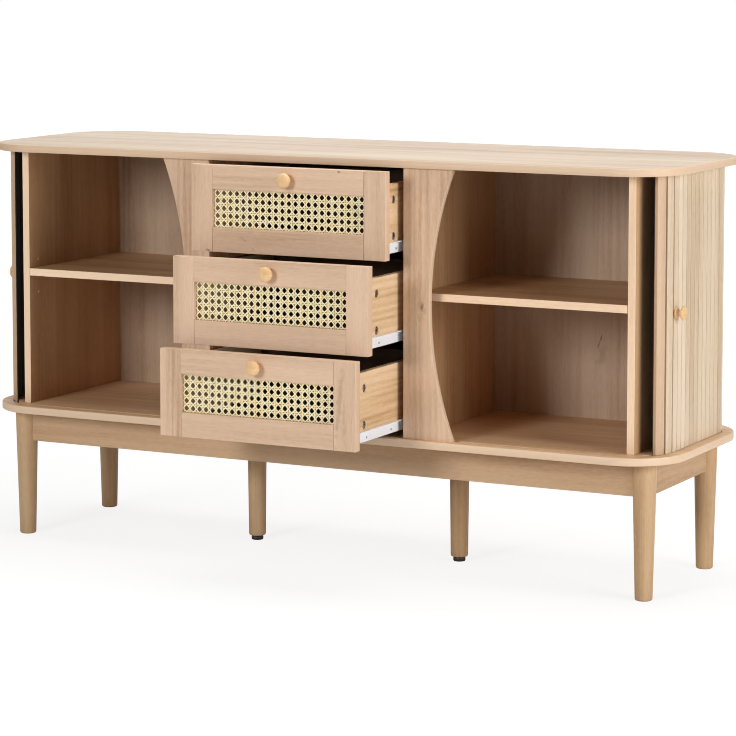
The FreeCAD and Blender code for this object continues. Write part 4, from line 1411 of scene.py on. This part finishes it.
class SIDEBOARD_OT_drawer_boxes(bpy.types.Operator):
    """Make the drawers' sides, backs and bottoms"""

    bl_idname = "sideboard.drawer_boxes"
    bl_label = "Drawer boxes"

    def execute(self, context):
        s = sizes()
        for index, name in enumerate(DRAWERS):
            low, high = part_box(name + "_drawer_box")
            inner, back = high.x - s.box_side, high.y - s.box_side
            floor = low.z + s.bottom_rise
            first = PARTS_A_DRAWER * index
            stock = Stock()
            for part, (_, side) in enumerate(SIDES):
                levels = (low.z + s.cam_margin, high.z - s.cam_margin)
                places = [(side * high.x, low.y + s.cam_setback, z) for z in levels]
                mesh = cut(
                    sided_board(side, inner, high.x, low, high),
                    drills(places, s.cam_seat, s.cam_depth, (-side, 0, 0)))
                stock.take(mesh, Y, figure_shift("boxes", first + part))
            # The back and bottom take the second finish, dark with painted shade
            back_board = board((-inner, back, low.z), (inner, high.y, high.z))
            stock.take(back_board, X, figure_shift("boxes", first + 2), slot=1)
            bottom = board((-inner, low.y, floor), (inner, back, floor + s.box_bottom), THIN_EASED)
            stock.take(bottom, X, figure_shift("boxes", first + 3), slot=1)
            piece(
                name + "_box_wood", stock.mesh("drawer_box"), ("drawer_side", "drawer_floor"),
                name + "_drawer", name + "_drawer_box", slot="drawer_wood")
        return {"FINISHED"}


class SIDEBOARD_OT_knobs(bpy.types.Operator):
    """Turn the knobs of the drawers and doors"""

    bl_idname = "sideboard.knobs"
    bl_label = "Knobs"
    SEGMENTS = 48
    SHARP = 60

    def execute(self, context):
        for index, name in enumerate(DRAWERS):
            self.knob(
                name, "_drawer_knob", "_drawer", DRAWER_KNOB, FRONT, Y, X,
                figure_shift("drawer_knobs", index))
        for index, (side, sign) in enumerate(SIDES):
            self.knob(
                side, "_door_knob", "_front_slats_body", DOOR_KNOB, (sign, 0, 0), X, Z,
                figure_shift("door_knobs", index))
        return {"FINISHED"}

    def knob(self, name, node, body, shape, axis, along, across, shift):
        """One knob that stands out along an axis."""
        low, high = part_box(name + node)
        place = (low + high) / 2
        place[along] = low[along] if axis[along] > 0 else high[along]
        radius, tall = (high[across] - low[across]) / 2, high[along] - low[along]
        profile = rounded(scaled(shape, radius, tall), KNOB_CURVE)
        stock = Stock()
        turned(stock, profile, place, axis, shift, self.SEGMENTS)
        piece(
            name + "_knob", stock.mesh("knob", self.SHARP), ("turned_knob",), name + body, name + node,
            slot="turned_wood")


HEAD_SEGMENTS = 16
HEAD_SHARP = 40


def screw_head(radius, tall):
    """A round head with a socket, standing on its place and facing up."""
    stock = Stock()
    profile = scaled(SCREW_SHAPE, radius, tall) + [(SOCKET_TIP[0], tall * SOCKET_TIP[1])]
    turned(stock, profile, (0, 0, 0), UP, (0, 0), HEAD_SEGMENTS)
    return stock.mesh("screw", HEAD_SHARP)


class SIDEBOARD_OT_hardware(bpy.types.Operator):
    """Dress the runners and rollers, and set the screws, cams and nails"""

    bl_idname = "sideboard.hardware"
    bl_label = "Hardware"
    # Piece, finish, radius as a share of the seat's width, how far below the seat's rim, how far to the back
    # The first row is painted shade: a dark disc filling each seat, its front crescent showing beside the
    # steel cam
    CAMS = (("_cam_seats", "cast_cam", 0.48, 0.0012, 0.0), ("_cams", "plain_steel", 0.34, 0.0002, -0.0022))

    def execute(self, context):
        dress("cabinet_runners", "white_enamel")
        for drawer in DRAWERS:
            dress(drawer + "_drawer_runners", "white_enamel")
            dress(drawer + "_rear_rollers", "nylon")
            dress(drawer + "_front_rollers", "nylon")
        for drawer in DRAWERS:
            self.runner_screws(drawer)
        for drawer in DRAWERS:
            self.cams(drawer)
        self.back_nails()
        return {"FINISHED"}

    def both_sides(self, head, kind, place, step, count):
        """Rows of heads that face out on the right and left."""
        return gathered("heads", [row_of(
            "heads", screw_head(*head), kind, (side * place[0], *place[1:]), step, count,
            (0, side * QUARTER, 0)) for _, side in SIDES])

    def runner_screws(self, name):
        """Screws through a drawer's runners into its sides."""
        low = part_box(name + "_drawer_runners")[0]
        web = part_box(name + "_drawer_box")[1].x + RUNNER_WEB
        mesh = self.both_sides(
            (SCREW_RADIUS, SCREW_HEIGHT), "plain_steel", (web, low.y + SCREW_START, low.z + SCREW_RISE),
            (0, SCREW_PITCH, 0), SCREW_COUNT)
        piece(name + "_runner_screws", mesh, ("plain_steel",), name + "_drawer", slot="pin_steel")

    def cams(self, name):
        """Steel cams in a drawer's sides, each seat filled with a dark disc of painted shade."""
        s = sizes()
        low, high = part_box(name + "_drawer_box")
        step = (0, 0, high.z - low.z - 2 * s.cam_margin)
        for label, kind, share, below, behind in self.CAMS:
            place = (high.x - s.cam_depth, low.y + s.cam_setback + behind, low.z + s.cam_margin)
            mesh = self.both_sides((share * s.cam_seat, s.cam_depth - below), kind, place, step, 2)
            piece(name + label, mesh, (kind,), name + "_drawer", slot="pin_steel")

    def back_nails(self):
        """Nail heads round the back panel and along the partitions."""
        s = sizes()
        low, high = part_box("back_panel")
        left, right = low.x + NAIL_INSET, high.x - NAIL_INSET
        foot, head = low.z + NAIL_INSET, high.z - NAIL_INSET
        across, up = int((right - left) / s.nail_pitch), int((head - foot) / s.nail_pitch)
        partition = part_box("partitions")[1].x - s.board / 2
        rows = [((x, foot), (0, (head - foot) / up), up + 1) for x in (left, right, -partition, partition)]
        step = (right - left) / across
        rows += [((left + step, z), (step, 0), across - 1) for z in (foot, head)]
        nails = [
            row_of(
                "nails", screw_head(s.nail / 2, NAIL_HEIGHT), "plain_steel", (x, high.y, z), (dx, 0, dz),
                count, (-QUARTER, 0, 0))
            for (x, z), (dx, dz), count in rows]
        piece("back_nails", gathered("nails", nails), ("plain_steel",), CABINET, slot="pin_steel")


class SIDEBOARD_OT_stage(bpy.types.Operator):
    """Set the floor, the light and the camera"""

    bl_idname = "sideboard.stage"
    bl_label = "Stage"
    FLOOR_HALF = 30.0
    FRAME_WIDTH = 36.0
    GLOW = 1.06
    # Name, setting of its power, size, place and aim
    LAMPS = (
        ("front_lamp", "key", 1.3, (-1.0, -4.6, 1.95), (0.0, 0.0, 0.5)),
        ("top_lamp", "top", 2.4, (0.1, 0.3, 3.35), (0.1, -0.1, 0.5)),
        ("side_lamp", "side", 1.8, (3.8, -0.9, 1.3), (0.6, 0.0, 0.5)))

    def execute(self, context):
        settings = context.scene.sideboard_stage
        self.floor(settings)
        self.sky(settings)
        for name, power, size, place, aim in self.LAMPS:
            self.lamp(name, getattr(settings, power), size, place, aim)
        self.camera(settings)
        context.scene.view_settings.view_transform = "Standard"
        context.scene.cycles.filter_width = settings.sharpness
        return {"FINISHED"}

    def floor(self, settings):
        """A wide pale floor that keeps a soft shadow."""
        half = self.FLOOR_HALF
        mesh = bpy.data.meshes.new("floor")
        corners = [(-half, -half, 0), (half, -half, 0), (half, half, 0), (-half, half, 0)]
        mesh.from_pydata(corners, [], [[0, 1, 2, 3]])
        floor = linked("floor", mesh)
        material, n, shader = new_material("pale_floor")
        n.feed(shader, {
            "Base Color": (*settings.floor, 1.0), "Roughness": 0.9, "Specular IOR Level": 0.0})
        seen = n.put("ShaderNodeLightPath").outputs["Is Camera Ray"]
        glow = n.put("ShaderNodeEmission", {"Strength": self.GLOW}).outputs[0]
        away = n.vectors("LENGTH", n.place()).outputs["Value"]
        amount = n.times(seen, n.spread(away, 0.9, 2.4, 0.8, 1.0))
        both = n.put("ShaderNodeMixShader", {0: amount, 1: shader.outputs[0], 2: glow}).outputs[0]
        n.feed(n.tree.nodes["Material Output"], {"Surface": both})
        mesh.materials.append(material)

    def sky(self, settings):
        """Even white light, seen as plain white."""
        world = bpy.data.worlds.get("studio") or bpy.data.worlds.new("studio")
        bpy.context.scene.world = world
        world.use_nodes = True
        n = Nodes(world.node_tree)
        n.tree.nodes.clear()
        path = n.put("ShaderNodeLightPath").outputs
        mirrored = n.maths("MAXIMUM", path["Is Glossy Ray"], path["Is Transmission Ray"])
        seen = n.maths("MAXIMUM", path["Is Camera Ray"], mirrored)
        strength = n.plus(settings.sky, n.times(seen, 1.0 - settings.sky))
        light = n.put("ShaderNodeBackground", {"Color": (1, 1, 1, 1), "Strength": strength}).outputs[0]
        n.put("ShaderNodeOutputWorld", {"Surface": light})

    def lamp(self, name, power, size, place, aim):
        """A large soft lamp."""
        data = bpy.data.lights.new(name, "AREA")
        data.energy, data.size = power, size
        lamp = linked(name, data)
        lamp.location = place
        lamp.rotation_euler = (Vector(aim) - Vector(place)).to_track_quat("-Z", "Y").to_euler()

    def camera(self, settings):
        """The camera at the photograph's place."""
        data = bpy.data.cameras.new("camera")
        data.sensor_width, data.lens, data.shift_y = self.FRAME_WIDTH, settings.lens, settings.shift
        camera = linked("camera", data)
        camera.location = settings.place
        camera.rotation_euler = (QUARTER - settings.tilt, 0, settings.turn)
        bpy.context.scene.camera = camera


STEPS = (
    SIDEBOARD_OT_stage, SIDEBOARD_OT_rim_boards, SIDEBOARD_OT_carcass, SIDEBOARD_OT_base,
    SIDEBOARD_OT_tambours, SIDEBOARD_OT_drawer_fronts, SIDEBOARD_OT_cane, SIDEBOARD_OT_drawer_boxes,
    SIDEBOARD_OT_knobs, SIDEBOARD_OT_hardware)
GROUPS = (
    ("sideboard_colours", SideboardColours), ("sideboard_sizes", SideboardSizes),
    ("sideboard_stage", SideboardStage))


class SIDEBOARD_PT_panel(bpy.types.Panel):
    """The sideboard's settings and steps"""

    bl_label = "Sideboard"
    bl_idname = "SIDEBOARD_PT_panel"
    bl_space_type = "VIEW_3D"
    bl_region_type = "UI"
    bl_category = "Sideboard"

    def draw(self, context):
        for step in STEPS:
            self.layout.operator(step.bl_idname)
        for label, _ in GROUPS:
            group = getattr(context.scene, label)
            column = self.layout.column()
            for name in group.bl_rna.properties.keys():
                if name not in ("rna_type", "name"):
                    column.prop(group, name)


def register():
    """Add the settings, steps and panel."""
    for name, group in GROUPS:
        bpy.utils.register_class(group)
        setattr(bpy.types.Scene, name, bpy.props.PointerProperty(type=group))
    for item in (*STEPS, SIDEBOARD_PT_panel):
        bpy.utils.register_class(item)


def unregister():
    """Take the settings, steps and panel away."""
    for item in (SIDEBOARD_PT_panel, *reversed(STEPS)):
        bpy.utils.unregister_class(item)
    for name, group in reversed(GROUPS):
        delattr(bpy.types.Scene, name)
        bpy.utils.unregister_class(group)


def main():
    """Build the sideboard's looks."""
    register()
    for step in STEPS:
        group, name = step.bl_idname.split(".")
        getattr(getattr(bpy.ops, group), name)()


if __name__ == "__main__":
    main()
